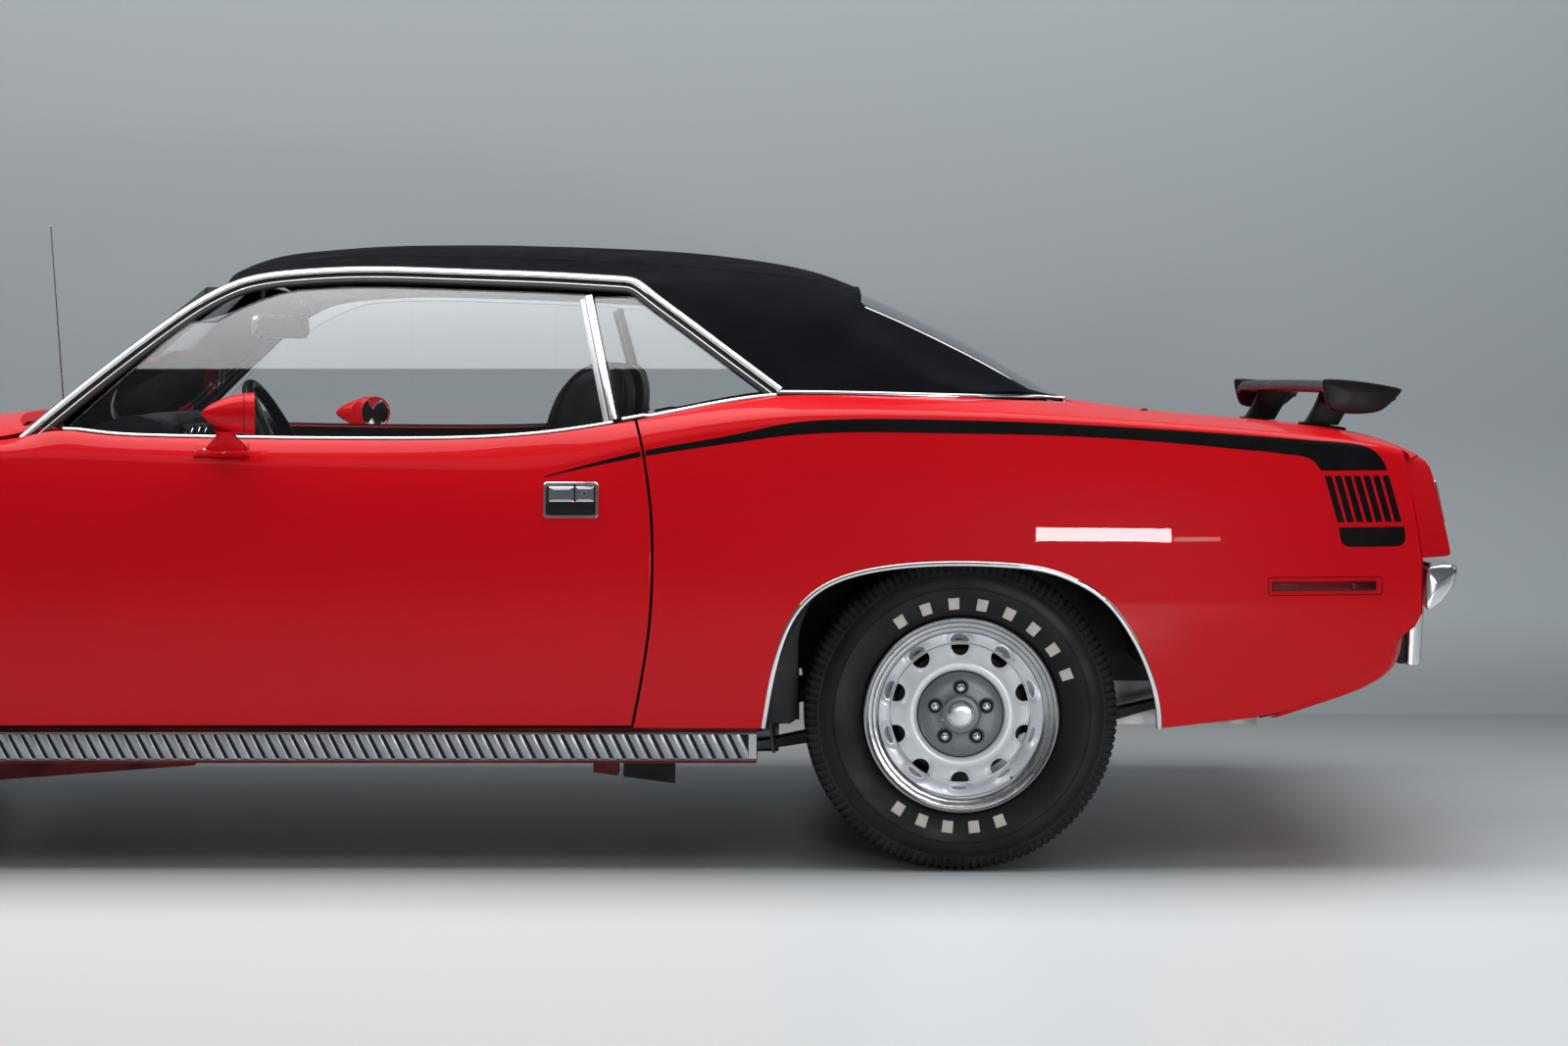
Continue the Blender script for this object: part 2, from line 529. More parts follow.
def pbr(name, base, rough=0.5, metal=0.0, coat=0.0, coat_rough=0.03, spec=0.5, grain=(), tint=None, rvar=None, scale_vec=None, emit=None,
        sheen=0.0, aniso=0.0, ior=None, trans=0.0):
    """Principled material. grain: (kind, scale, bump distance in metres, strength); tint: (scale, other colour, share);
    rvar: (scale, low, high) for patchy gloss; scale_vec stretches the pattern's space."""
    m = bpy.data.materials.new(name)
    t, N, L = nodes_of(m)
    p = N["Principled BSDF"]
    p.inputs["Base Color"].default_value = (*base, 1)
    p.inputs["Roughness"].default_value = rough
    p.inputs["Metallic"].default_value = metal
    p.inputs["Coat Weight"].default_value = coat
    p.inputs["Coat Roughness"].default_value = coat_rough
    p.inputs["Specular IOR Level"].default_value = spec
    p.inputs["Sheen Weight"].default_value = sheen
    if ior:
        p.inputs["IOR"].default_value = ior
    if trans:
        p.inputs["Transmission Weight"].default_value = trans
    if aniso:
        p.inputs["Anisotropic"].default_value = aniso
    if emit:
        p.inputs["Emission Color"].default_value = (*emit[0], 1)
        p.inputs["Emission Strength"].default_value = emit[1]
    tc = N.new("ShaderNodeTexCoord")
    vec = tc.outputs["Object"]
    if scale_vec:
        mp = N.new("ShaderNodeMapping")
        mp.inputs["Scale"].default_value = scale_vec
        L.new(vec, mp.inputs["Vector"])
        vec = mp.outputs["Vector"]
    last = None
    for kind, scale, dist, strength in grain:
        if kind == "noise":
            x = N.new("ShaderNodeTexNoise")
            x.inputs["Scale"].default_value = scale
            x.inputs["Detail"].default_value = 3.0
            h = x.outputs["Fac"]
        elif kind == "cells":
            x = N.new("ShaderNodeTexVoronoi")
            x.feature = "DISTANCE_TO_EDGE"
            x.inputs["Scale"].default_value = scale
            r = N.new("ShaderNodeMapRange")
            r.inputs["From Max"].default_value = 0.25
            L.new(x.outputs["Distance"], r.inputs["Value"])
            h = r.outputs["Result"]
        elif kind == "pebble":
            x = N.new("ShaderNodeTexVoronoi")
            x.feature = "SMOOTH_F1"
            x.inputs["Scale"].default_value = scale
            h = x.outputs["Distance"]
        elif kind == "streak":
            mp2 = N.new("ShaderNodeMapping")
            mp2.inputs["Scale"].default_value = (0.16, 1.0, 1.0)
            L.new(tc.outputs["Object"], mp2.inputs["Vector"])
            x = N.new("ShaderNodeTexNoise")
            x.inputs["Scale"].default_value = scale
            x.inputs["Detail"].default_value = 4.0
            x.inputs["Distortion"].default_value = 0.6
            L.new(mp2.outputs["Vector"], x.inputs["Vector"])
            h = x.outputs["Fac"]
        if kind != "streak":
            L.new(vec, x.inputs["Vector"])
        b = N.new("ShaderNodeBump")
        b.inputs["Distance"].default_value = dist
        b.inputs["Strength"].default_value = strength
        L.new(h, b.inputs["Height"])
        if last is not None:
            L.new(last, b.inputs["Normal"])
        last = b.outputs["Normal"]
    if last is not None:
        L.new(last, p.inputs["Normal"])
        if coat:
            pass
    if tint:
        sc, other, share = tint
        x = N.new("ShaderNodeTexNoise")
        x.inputs["Scale"].default_value = sc
        x.inputs["Detail"].default_value = 4.0
        L.new(vec, x.inputs["Vector"])
        cr = N.new("ShaderNodeValToRGB")
        cr.color_ramp.elements[0].position = 0.35
        cr.color_ramp.elements[1].position = 0.65
        cr.color_ramp.elements[0].color = (*base, 1)
        cr.color_ramp.elements[1].color = (*[lerp(a, b_, share) for a, b_ in zip(base, other)], 1)
        L.new(x.outputs["Fac"], cr.inputs["Fac"])
        L.new(cr.outputs["Color"], p.inputs["Base Color"])
    if rvar:
        sc, lo, hi = rvar
        x = N.new("ShaderNodeTexNoise")
        x.inputs["Scale"].default_value = sc
        x.inputs["Detail"].default_value = 3.0
        L.new(vec, x.inputs["Vector"])
        r = N.new("ShaderNodeMapRange")
        r.inputs["From Min"].default_value = 0.3
        r.inputs["From Max"].default_value = 0.7
        r.inputs["To Min"].default_value = lo
        r.inputs["To Max"].default_value = hi
        L.new(x.outputs["Fac"], r.inputs["Value"])
        L.new(r.outputs["Result"], p.inputs["Roughness"])
    return m


def glass(name, tint, shade=1.0, gloss=0.02, ior=1.5):
    """Thin tinted glass: lets the light straight through and mirrors more at a glancing angle."""
    m = bpy.data.materials.new(name)
    t, N, L = nodes_of(m)
    out = N["Material Output"]
    N.remove(N["Principled BSDF"])
    tr = N.new("ShaderNodeBsdfTransparent")
    tr.inputs["Color"].default_value = (*[c * shade for c in tint], 1)
    gl = N.new("ShaderNodeBsdfGlossy")
    gl.inputs["Color"].default_value = (0.95, 0.97, 1.0, 1)
    gl.inputs["Roughness"].default_value = gloss
    fr = N.new("ShaderNodeFresnel")
    fr.inputs["IOR"].default_value = ior
    mx = N.new("ShaderNodeMixShader")
    L.new(fr.outputs["Fac"], mx.inputs["Fac"])
    L.new(tr.outputs["BSDF"], mx.inputs[1])
    L.new(gl.outputs["BSDF"], mx.inputs[2])
    L.new(mx.outputs["Shader"], out.inputs["Surface"])
    return m


M_PAINT = pbr("body_paint_red", (0.66, 0.0028, 0.0085), 0.40, 0.0, coat=0.30, coat_rough=0.012, spec=0.06, grain=[("noise", 900, 0.00004, 0.05)],
              tint=(3.0, (0.61, 0.0022, 0.0075), 0.5))
M_PAINT_IN = pbr("body_paint_inner", (0.42, 0.010, 0.008), 0.5, 0.0, coat=0.3, coat_rough=0.2, tint=(12.0, (0.25, 0.01, 0.01), 0.6), rvar=(30, 0.4, 0.65))
M_STRIPE = pbr("stripe_black", (0.0045, 0.0045, 0.005), 0.40, 0.0, spec=0.10, tint=(20, (0.007, 0.0072, 0.008), 0.8), rvar=(60, 0.30, 0.42))
M_VINYL = pbr("roof_vinyl_black", (0.0034, 0.0040, 0.0058), 0.6, 0.0, spec=0.015,
              grain=[("streak", 420, 0.0007, 0.55), ("pebble", 900, 0.0003, 0.35)], tint=(6, (0.0068, 0.0075, 0.0098), 0.8), rvar=(14, 0.54, 0.68))
M_CHROME = pbr("bright_chrome", (0.80, 0.81, 0.83), 0.06, 1.0, tint=(9, (0.70, 0.71, 0.73), 0.6), rvar=(25, 0.04, 0.10))
M_STAINLESS = pbr("polished_stainless", (0.72, 0.73, 0.75), 0.16, 1.0, grain=[("noise", 1500, 0.00002, 0.15)], rvar=(40, 0.12, 0.22))
M_ALU = pbr("ribbed_aluminium_grey", (0.36, 0.37, 0.39), 0.34, 0.85, grain=[("noise", 900, 0.00008, 0.3)], tint=(25, (0.26, 0.27, 0.285), 0.7), rvar=(35, 0.28, 0.42))
M_RUBBER = pbr("tyre_rubber_black", (0.0045, 0.0047, 0.0055), 0.50, 0.0, spec=0.20, grain=[("noise", 260, 0.0002, 0.35), ("pebble", 1400, 0.0001, 0.3)],
               tint=(9, (0.012, 0.012, 0.0135), 0.7), rvar=(11, 0.34, 0.54))
M_TREAD = pbr("tyre_tread_rubber", (0.014, 0.0142, 0.015), 0.72, 0.0, spec=0.3, grain=[("noise", 500, 0.0003, 0.5)], tint=(20, (0.03, 0.029, 0.028), 0.7))
M_WHITE = pbr("tyre_white_rubber", (0.62, 0.585, 0.52), 0.55, 0.0, grain=[("noise", 400, 0.0001, 0.3)], tint=(60, (0.50, 0.47, 0.41), 0.6))
M_SEAL = pbr("black_rubber_seal", (0.010, 0.010, 0.011), 0.6, 0.0, spec=0.3, grain=[("noise", 700, 0.0001, 0.4)], tint=(30, (0.02, 0.02, 0.02), 0.6))
M_WHEEL = pbr("wheel_silver_paint", (0.78, 0.80, 0.84), 0.38, 0.25, coat=0.5, coat_rough=0.12, grain=[("noise", 2500, 0.00003, 0.2)],
              tint=(1800, (0.86, 0.87, 0.90), 0.5), rvar=(50, 0.34, 0.44))
M_RING = pbr("trim_ring_satin", (0.42, 0.425, 0.435), 0.2, 1.0, grain=[("noise", 1500, 0.00002, 0.15)], tint=(30, (0.34, 0.345, 0.355), 0.6), rvar=(60, 0.14, 0.28))
M_HUB = pbr("wheel_centre_grey", (0.155, 0.168, 0.18), 0.42, 0.45, coat=0.2, coat_rough=0.3, grain=[("noise", 1200, 0.00005, 0.3)], tint=(50, (0.19, 0.20, 0.215), 0.7))
M_CAP = pbr("wheel_cap_brushed", (0.62, 0.63, 0.64), 0.25, 1.0, aniso=0.7, grain=[("noise", 3000, 0.00002, 0.2)], tint=(90, (0.5, 0.51, 0.52), 0.5))
M_NUT = pbr("wheel_nut_chrome", (0.66, 0.68, 0.70), 0.12, 1.0, tint=(120, (0.5, 0.5, 0.5), 0.4), rvar=(120, 0.08, 0.2))
M_SATIN = pbr("satin_black", (0.0055, 0.0056, 0.006), 0.38, 0.0, spec=0.22, grain=[("noise", 1500, 0.00005, 0.25)], tint=(15, (0.0095, 0.0095, 0.010), 0.7), rvar=(22, 0.34, 0.44))
M_FLATBLACK = pbr("flat_black", (0.008, 0.008, 0.0085), 0.7, 0.0, spec=0.25, grain=[("noise", 500, 0.0002, 0.4)], tint=(18, (0.014, 0.014, 0.014), 0.7))
M_UNDER = pbr("underbody_dark", (0.020, 0.020, 0.021), 0.75, 0.0, spec=0.3, grain=[("noise", 120, 0.0012, 0.5), ("cells", 300, 0.0003, 0.3)], tint=(7, (0.045, 0.042, 0.040), 0.8), rvar=(16, 0.6, 0.9))
M_REDUNDER = pbr("underbody_red", (0.23, 0.012, 0.010), 0.6, 0.0, spec=0.35, grain=[("noise", 160, 0.0008, 0.5)], tint=(9, (0.06, 0.01, 0.008), 0.8), rvar=(18, 0.45, 0.8))
M_IRON = pbr("chassis_iron", (0.035, 0.035, 0.037), 0.6, 0.3, grain=[("noise", 140, 0.0008, 0.5)], tint=(13, (0.075, 0.070, 0.064), 0.7), rvar=(20, 0.45, 0.75))
M_ENGINE = pbr("engine_paint_orange", (0.42, 0.085, 0.014), 0.42, 0.0, coat=0.2, coat_rough=0.3, grain=[("noise", 150, 0.0008, 0.45)], tint=(11, (0.27, 0.05, 0.012), 0.7), rvar=(25, 0.35, 0.6))
M_STEEL = pbr("bare_steel", (0.30, 0.30, 0.31), 0.38, 0.9, grain=[("noise", 220, 0.0003, 0.4)], tint=(12, (0.18, 0.165, 0.15), 0.7), rvar=(18, 0.3, 0.55))
M_RADI = pbr("radiator_black", (0.012, 0.012, 0.013), 0.5, 0.2, grain=[("noise", 260, 0.0004, 0.4)], tint=(20, (0.03, 0.03, 0.03), 0.6))
M_SEATV = pbr("seat_vinyl_black", (0.012, 0.012, 0.0135), 0.42, 0.0, spec=0.45, grain=[("cells", 420, 0.0004, 0.45), ("noise", 60, 0.0008, 0.25)], tint=(8, (0.022, 0.022, 0.025), 0.7), rvar=(13, 0.36, 0.52))
M_TRIM = pbr("interior_plastic_black", (0.014, 0.014, 0.0155), 0.55, 0.0, spec=0.4, grain=[("pebble", 700, 0.0003, 0.4)], tint=(10, (0.024, 0.024, 0.026), 0.7), rvar=(20, 0.48, 0.62))
M_CARPET = pbr("carpet_black", (0.018, 0.018, 0.019), 0.95, 0.0, spec=0.1, sheen=0.4, grain=[("noise", 900, 0.0015, 0.8)], tint=(300, (0.045, 0.045, 0.047), 0.8))
M_LINER = pbr("headliner_black", (0.020, 0.020, 0.021), 0.8, 0.0, spec=0.25, grain=[("cells", 600, 0.0003, 0.5)], tint=(9, (0.032, 0.032, 0.033), 0.6))
M_LAMPR = pbr("lamp_red_lens", (0.20, 0.003, 0.006), 0.12, 0.0, coat=0.8, coat_rough=0.03, grain=[("cells", 320, 0.0006, 0.4)], tint=(30, (0.11, 0.002, 0.004), 0.7))
M_LAMPDK = pbr("lamp_dark_red_lens", (0.115, 0.002, 0.005), 0.30, 0.0, coat=0.15, coat_rough=0.10, spec=0.12, grain=[("cells", 400, 0.0005, 0.4)], tint=(40, (0.12, 0.004, 0.008), 0.7))
M_LAMPA = pbr("lamp_amber_lens", (0.55, 0.17, 0.01), 0.15, 0.0, coat=0.8, coat_rough=0.04, grain=[("cells", 320, 0.0005, 0.4)], tint=(30, (0.42, 0.11, 0.01), 0.6))
M_LENS = glass("lamp_clear_glass", (0.96, 0.97, 0.97), 1.0, 0.03)
M_REFL = pbr("lamp_reflector", (0.82, 0.83, 0.84), 0.10, 1.0, grain=[("cells", 90, 0.002, 0.5)], rvar=(30, 0.06, 0.16))
M_GLASS = glass("window_glass_green", (0.992, 1.0, 0.998), 1.0, ior=1.38)
M_MIRROR = pbr("mirror_glass", (0.74, 0.76, 0.78), 0.02, 1.0, tint=(3, (0.70, 0.72, 0.745), 0.5), rvar=(6, 0.015, 0.03))
M_GAUGE = pbr("gauge_face", (0.02, 0.02, 0.022), 0.4, 0.0, tint=(60, (0.04, 0.04, 0.045), 0.6))
M_MARK = pbr("gauge_marks_white", (0.65, 0.66, 0.65), 0.5, 0.0, tint=(60, (0.5, 0.5, 0.5), 0.5))
M_WOOD = pbr("console_trim_dark", (0.05, 0.022, 0.010), 0.3, 0.0, coat=0.5, coat_rough=0.1, grain=[("noise", 40, 0.0003, 0.2)], tint=(30, (0.02, 0.009, 0.004), 0.8), scale_vec=(1, 8, 8))
M_GROOVE = pbr("body_groove_shade", (0.10, 0.0015, 0.0015), 0.6, 0.0, spec=0.05, tint=(20, (0.08, 0.001, 0.001), 0.5))
M_LAMPEND = pbr("lamp_end_dark", (0.035, 0.002, 0.003), 0.35, 0.0, spec=0.15, tint=(30, (0.05, 0.003, 0.004), 0.6))
M_MIRCASE = pbr("mirror_case_grey", (0.52, 0.54, 0.56), 0.3, 0.6, tint=(25, (0.44, 0.45, 0.47), 0.6), rvar=(30, 0.24, 0.36))
M_MAST = pbr("antenna_steel", (0.45, 0.46, 0.47), 0.25, 1.0, tint=(60, (0.35, 0.35, 0.36), 0.6), rvar=(50, 0.2, 0.32))


def carry(names, m, slot=None):
    """A CAD node keeps its shape and gets this finish."""
    for n in names:
        o = NODES[n]
        me = o.data
        if not me.materials:
            me.materials.append(m)
        for i in range(len(me.materials)):
            me.materials[i] = m


# ------------------------------------------------------------------ painted panels
OUTL = lambda P: P * [0.0, 1.0, 0.0] + [0, 0, 300.0]


def out_side(P):
    return np.stack([np.zeros(P.shape[:-1]), np.full(P.shape[:-1], 1.0), np.full(P.shape[:-1], 0.8)], -1)


def vv_list(ns, nr, nt, e=0.004):
    """v values over side, shoulder and top."""
    a = np.linspace(0, 1, ns)
    a = np.r_[0, e, a[1:]]
    b = np.linspace(1, 2, nr)[1:]
    c = np.linspace(2, 3, nt)[1:]
    return np.r_[a, b, c[:-1], 3 - 0.03, 3]


def door_grids():
    u = uv(84, 0.0016)
    v = vv_list(52, 20, 8)
    U, W = np.meshgrid(u, v, indexing="ij")
    xr = np.full(U.shape, -640.0)
    for _ in range(6):
        x = lerp(DOOR_FRONT_X, xr, U)
        P = body_pt(x, W, DOOR_BOTTOM_Z, YB(x))
        xr = DOOR_REAR(P[..., 2]) + GAP / 2
    x = lerp(DOOR_FRONT_X, xr, U)
    yend = np.where(x < 560, YB(x), 864.0)
    P = body_pt(x, W, DOOR_BOTTOM_Z, yend)
    vn = (P[..., 2] - DOOR_BOTTOM_Z)
    zt = belt_z(x)
    vlin = np.linspace(0, 1, len(v))[None, :] * np.ones_like(U)
    vlin = np.where(W <= 1, W * 0.70, np.where(W <= 2, 0.70 + (W - 1) * 0.2, 0.90 + (W - 2) * 0.1))
    xi = lerp(DOOR_FRONT_X - 4.0, xr + 14.0, U)
    yi = 864.0 - DOOR_T + 67.0 * smooth((x - 535.0) / 40.0) * smooth((vlin - 0.80) / 0.08)
    zi = lerp(DOOR_BOTTOM_Z, zt, vlin)
    return P, np.stack([xi, yi, zi], -1)


def mirrored(P):
    return P * np.array([1.0, -1.0, 1.0])


def out_left(P):
    return np.broadcast_to(np.array([0.0, 1.0, 0.7]), P.shape)


def out_right(P):
    return np.broadcast_to(np.array([0.0, -1.0, 0.7]), P.shape)


def both_sides(fn):
    for side, name in ((1, "left"), (-1, "right")):
        fn(side, name)


OD, ID = door_grids()


def make_door(side, name):
    O, I = (OD, ID) if side > 0 else (mirrored(OD), mirrored(ID))
    M = shell(Mesh(), O, I, out_left if side > 0 else out_right, 0, 1, r=1.8)
    M.obj(name + "_door_panel", [M_PAINT, M_TRIM], name + "_door", slot="body_paint", replaces=name + "_door")


both_sides(make_door)


def quarter_grids():
    # bottom edge, front to back: sill line, arch, tail rise
    arch = curve(REAR_ARCH, 108)
    if arch[0, 0] < arch[-1, 0]:
        arch = arch[::-1]
    xb0 = float(DOOR_REAR(306.0)) - GAP / 2
    X0 = np.r_[xb0, xb0 - 0.5, np.linspace(xb0 - 6, arch[0, 0] + 3, 40), arch[:, 0], np.linspace(arch[-1, 0] - 3, -2271.5, 58), -2272.0]
    Z0 = np.r_[np.full(42, 306.0), arch[:, 1], QUARTER_LOW(np.linspace(arch[-1, 0] - 3, -2271.5, 58)), QUARTER_LOW(-2272.0)]
    wf = 1 - smooth((xb0 - X0) / 275.0)
    wr = smooth((-1717.0 - X0) / 555.0)
    v = vv_list(44, 17, 13)
    X, W = np.meshgrid(X0, v, indexing="ij")
    Zb = np.broadcast_to(Z0[:, None], X.shape)
    wf, wr = wf[:, None], wr[:, None]
    xr0 = -2272.0
    z = lerp(Zb, 960, W / 3)
    for _ in range(8):
        xf = DOOR_REAR(np.minimum(z, 955)) - GAP / 2
        xr = TAIL_CREASE(z)
        xr = np.where(W > 2, lerp(TAIL_CREASE(ZS(-2232)), LID_REAR_X - 2, smooth(W - 2)), xr)
        x = X + wf * (xf - xb0) + wr * (xr - xr0)
        yend = np.where(x > -1640, YB(x), LID_HALF + GAP)
        P = body_pt(x, W, Zb, yend)
        z = P[..., 2]
    return P


OQ = quarter_grids()


def inward(O, t, out):
    N = gnorm(O)
    s = 1.0 if float((N * out(O)).sum()) > 0 else -1.0
    return O - N * s * t


IQ = inward(OQ, 8.0, out_left)


def make_quarter(side, name):
    O, I = (OQ, IQ) if side > 0 else (mirrored(OQ), mirrored(IQ))
    M = shell(Mesh(), O, I, out_left if side > 0 else out_right, 0, 1, r=1.8)
    M.obj(name + "_quarter_skin", [M_PAINT, M_UNDER], "root", slot="body_paint", replaces=name + "_quarter_panel")


both_sides(make_quarter)


def fender_grids():
    arch = curve(FRONT_ARCH[::-1], 108)
    xa = np.linspace(DOOR_FRONT_X + GAP + 3, 1003, 26)
    xb = np.linspace(1879, 2314, 46)
    xs = np.r_[xa, arch[:, 0], xb]
    zs = np.r_[np.full(26, 306.0), arch[:, 1], lerp(306.0, 440.0, smooth((xb - 1850) / 420.0))]
    u = (xs - (DOOR_FRONT_X + GAP)) / (2318.0 - (DOOR_FRONT_X + GAP))
    u = np.r_[0, 0.0011, u, 1.0]
    zs = np.r_[306.0, 306.0, zs, 440.0]
    v = vv_list(44, 17, 9)
    U, W = np.meshgrid(u, v, indexing="ij")
    x = lerp(DOOR_FRONT_X + GAP, 2318.0, U)
    return body_pt(x, W, np.broadcast_to(zs[:, None], U.shape), HOOD_HALF + GAP)


OF = fender_grids()
IF = inward(OF, 8.0, out_left)


def make_fender(side, name):
    O, I = (OF, IF) if side > 0 else (mirrored(OF), mirrored(IF))
    M = shell(Mesh(), O, I, out_left if side > 0 else out_right, 0, 1, r=1.8)
    M.obj(name + "_fender_skin", [M_PAINT, M_UNDER], "root", slot="body_paint", replaces=name + "_fender")


both_sides(make_fender)

UP = (0, 0, 1)


def make_hood():
    u, v = uv(90, 0.0014), uv(90, 0.0014)
    U, W = np.meshgrid(u, v, indexing="ij")
    y = lerp(-HOOD_HALF, HOOD_HALF, W)
    x = lerp(hood_rear_x(y) + 1.2, hood_front_x(y), U)
    z = top_z(x, y)
    O = np.stack([x, y, z], -1)
    I = np.stack([x, y * 0.985, z - 22.0], -1)
    M = shell(Mesh(), O, I, UP, 0, 1, r=2.2)
    # twin low scoops with open mouths
    for s in (1, -1):
        us, vs = np.linspace(0, 1, 44), np.linspace(-1, 1, 33)
        A, B = np.meshgrid(us, vs, indexing="ij")
        xx = lerp(1640, 1180, A)
        w = np.interp(A, [0, 0.17, 0.52, 1], [105, 112, 112, 88])
        up = np.interp(A, [0, 0.17, 0.52, 1], [25, 33.5, 31, 1.0])
        up = up * (1 - smooth((A - 0.5) / 0.5) * 0.25)
        f = 1 - np.clip((np.abs(B) - 0.55) / 0.45, 0, 1) ** 2.4
        yy = s * (265 + B * w)
        zz = top_z(xx, yy) + up * f
        S = np.stack([xx, yy, zz], -1)
        M2 = gnorm(S)
        M2 *= np.sign((M2[..., 2:3]))
        M.add(S.reshape(-1, 3), [], 0, M2.reshape(-1, 3))
        n0 = M.c - len(S.reshape(-1, 3))
        nu, nv = S.shape[:2]
        for i in range(nu - 1):
            for j in range(nv - 1):
                q = [i * nv + j, (i + 1) * nv + j, (i + 1) * nv + j + 1, i * nv + j + 1]
                a, b, c = S.reshape(-1, 3)[q[0]], S.reshape(-1, 3)[q[1]], S.reshape(-1, 3)[q[2]]
                if np.cross(b - a, c - a)[2] < 0:
                    q = q[::-1]
                M.F.append(tuple(k + n0 for k in q))
                M.M.append(0)
        # mouth: dark recess behind the front lip
        lip = S[0]
        base = lip.copy()
        base[:, 2] = top_z(lip[:, 0], lip[:, 1]) + 0.2
        back_l = lip - [60, 0, 4]
        back_b = base - [60, 0, -1.0]
        for a, b, nn, mm in ((lip - [0, 0, 2.2], back_l - [0, 0, 2.0], (0, 0, -1), 2), (base, back_b, (0, 0, 1), 2), (back_l, back_b, (1, 0, 0), 2),
                             (lip, lip - [0, 0, 2.2], (1, 0, 0), 0)):
            G = np.stack([a, b], 0)
            gn = np.broadcast_to(np.array(nn, float), G.shape)
            M.grid(G, mm, out=nn, N=gn)
    M.obj("hood_skin", [M_PAINT, M_PAINT_IN, M_FLATBLACK], "hood", slot="body_paint", replaces="hood")


make_hood()


def make_lid():
    u, v = uv(50, 0.003), uv(70, 0.0016)
    U, W = np.meshgrid(u, v, indexing="ij")
    y = lerp(-LID_HALF, LID_HALF, W)
    x = lerp(LID_REAR_X, LID_FRONT_X, U)
    z = top_z(x, y)
    O = np.stack([x, y, z], -1)
    I = np.stack([x + np.where(U < 0.001, 3.5, 0), y * 0.985, z - 20.0], -1)
    shell(Mesh(), O, I, UP, 0, 1, r=2.0).obj("deck_lid_skin", [M_PAINT, M_PAINT_IN], "deck_lid", slot="body_paint", replaces="deck_lid")


make_lid()


def make_deck_panel():
    u, v = uv(12, 0.04), uv(70, 0.0016)
    U, W = np.meshgrid(u, v, indexing="ij")
    y = lerp(-618.0, 618.0, W)
    x = lerp(LID_FRONT_X + GAP, -1566.0, U)
    z = top_z(x, y)
    O = np.stack([x, y, z], -1)
    I = O - [0, 0, 14.0]
    M = shell(Mesh(), O, I, UP, 0, 1, r=2.0)
    M.obj("deck_panel_skin", [M_PAINT, M_PAINT_IN], "root", slot="body_paint", replaces="rear_deck_panel")
    # the shelf behind the rear seat, under the rear window, with two speaker grilles
    M = Mesh()
    M.block(-1596, -1120, -600, 600, 888, 900, 0, 3.0)
    M.block(-1596, -1588, -600, 600, 894, 966, 0, 1.0)
    for s in (1, -1):
        M.block(-1440, -1220, s * 345 - 80, s * 345 + 80, 898, 903, 1, 2.5)
        for k in range(11):
            xk = -1428 + k * 19.6
            M.block(xk, xk + 9, s * 345 - 70, s * 345 + 70, 902, 904.5, 1, 1.0)
    M.obj("parcel_shelf", [M_TRIM, M_SATIN], "root", sharp=35, slot="interior_plastic")


make_deck_panel()

TAIL_PROF = [(-2203, 919), (-2240, 907), (-2277, 892), (-2294, 880), (-2303, 866), (-2308, 850), (-2318, 806), (-2329, 755), (-2340, 703), (-2346, 676), (-2346, 668), (-2340, 664),
             (-2310, 664), (-2290, 664), (-2281, 661), (-2279, 652), (-2279, 620), (-2277, 560), (-2276, 545)]


def tail_point(t, jj):
    """t -1..1 across, jj a real place along the profile."""
    P = np.array(TAIL_PROF, float)
    k = np.arange(len(P))
    x = np.interp(jj, k, P[:, 0])
    z = np.interp(jj, k, P[:, 1])
    a = np.abs(t)
    zc = np.clip(z, 545.0, 900.0)
    half = side_y(TAIL_CREASE(zc), zc) - 4.5
    half = np.where(jj <= 2, YS(-2240) - 8.0 + 3.0 * jj, half)
    y = half * t
    cut = np.clip((a - 0.925) / 0.075, 0, 1)
    start = lerp(LID_REAR_X - GAP, -2237.0, smooth((np.abs(y) - 626.0) / 206.0))
    xa = np.minimum(x, start - 13.0 * jj)
    za = top_z(np.maximum(xa, -2285), np.abs(y)) - np.where(jj > 1, 3.0 * np.clip(jj - 1, 0, 1), 0.0)
    xa = lerp(xa, np.maximum(xa, -2237.0 - 6.0 * jj), cut)
    crease = TAIL_CREASE(zc) - 3.5
    xb = np.where(x < crease, lerp(x, crease, cut), x)
    zb = z - (ZC(-2280) - top_z(-2280, np.minimum(np.abs(y), 840.0))) * np.clip((z - 700.0) / 200.0, 0, None)
    return np.stack([np.where(jj <= 2, xa, xb), y, np.where(jj <= 2, za, zb)], -1)


def make_tail():
    t = np.unique(np.r_[np.linspace(-1, -0.925, 14), np.linspace(-0.925, 0.925, 64), np.linspace(0.925, 1, 12)])
    j = np.unique(np.r_[np.linspace(0, 2, 9), np.linspace(2, 9, 40), np.linspace(9, 12, 13), np.linspace(12, 18, 14)])
    T, J = np.meshgrid(t, j, indexing="ij")
    P = tail_point(T, J)
    M = Mesh()
    M.grid(P, 0, out=(-1, 0, 0.3))
    # back faces, a little inside
    Q = P + np.array([16.0, 0, 0]) * np.where(J[..., None] > 2, 1, 0) + np.array([3.0, 0, -14.0]) * np.where(J[..., None] <= 2, 1, 0)
    Q[..., 1] *= 0.975
    M.grid(Q[np.ix_(sorted(set(range(0, len(t), 3)) | {len(t) - 1}), sorted(set(range(0, len(j), 2)) | {len(j) - 1}))], 1, out=(1, 0, -0.3))
    for k in (0, -1):
        M.grid(np.stack([P[k], Q[k]], 0), 0, out=(0, 1 if k else -1, 0))
    for k in (0, -1):
        M.grid(np.stack([P[:, k], Q[:, k]], 0), 0, out=(1, 0, 0.3) if k == 0 else (0, 0, -1))
    M.obj("tail_panel_skin", [M_PAINT, M_PAINT_IN], "root", sharp=24, slot="body_paint", replaces="tail_panel")


make_tail()


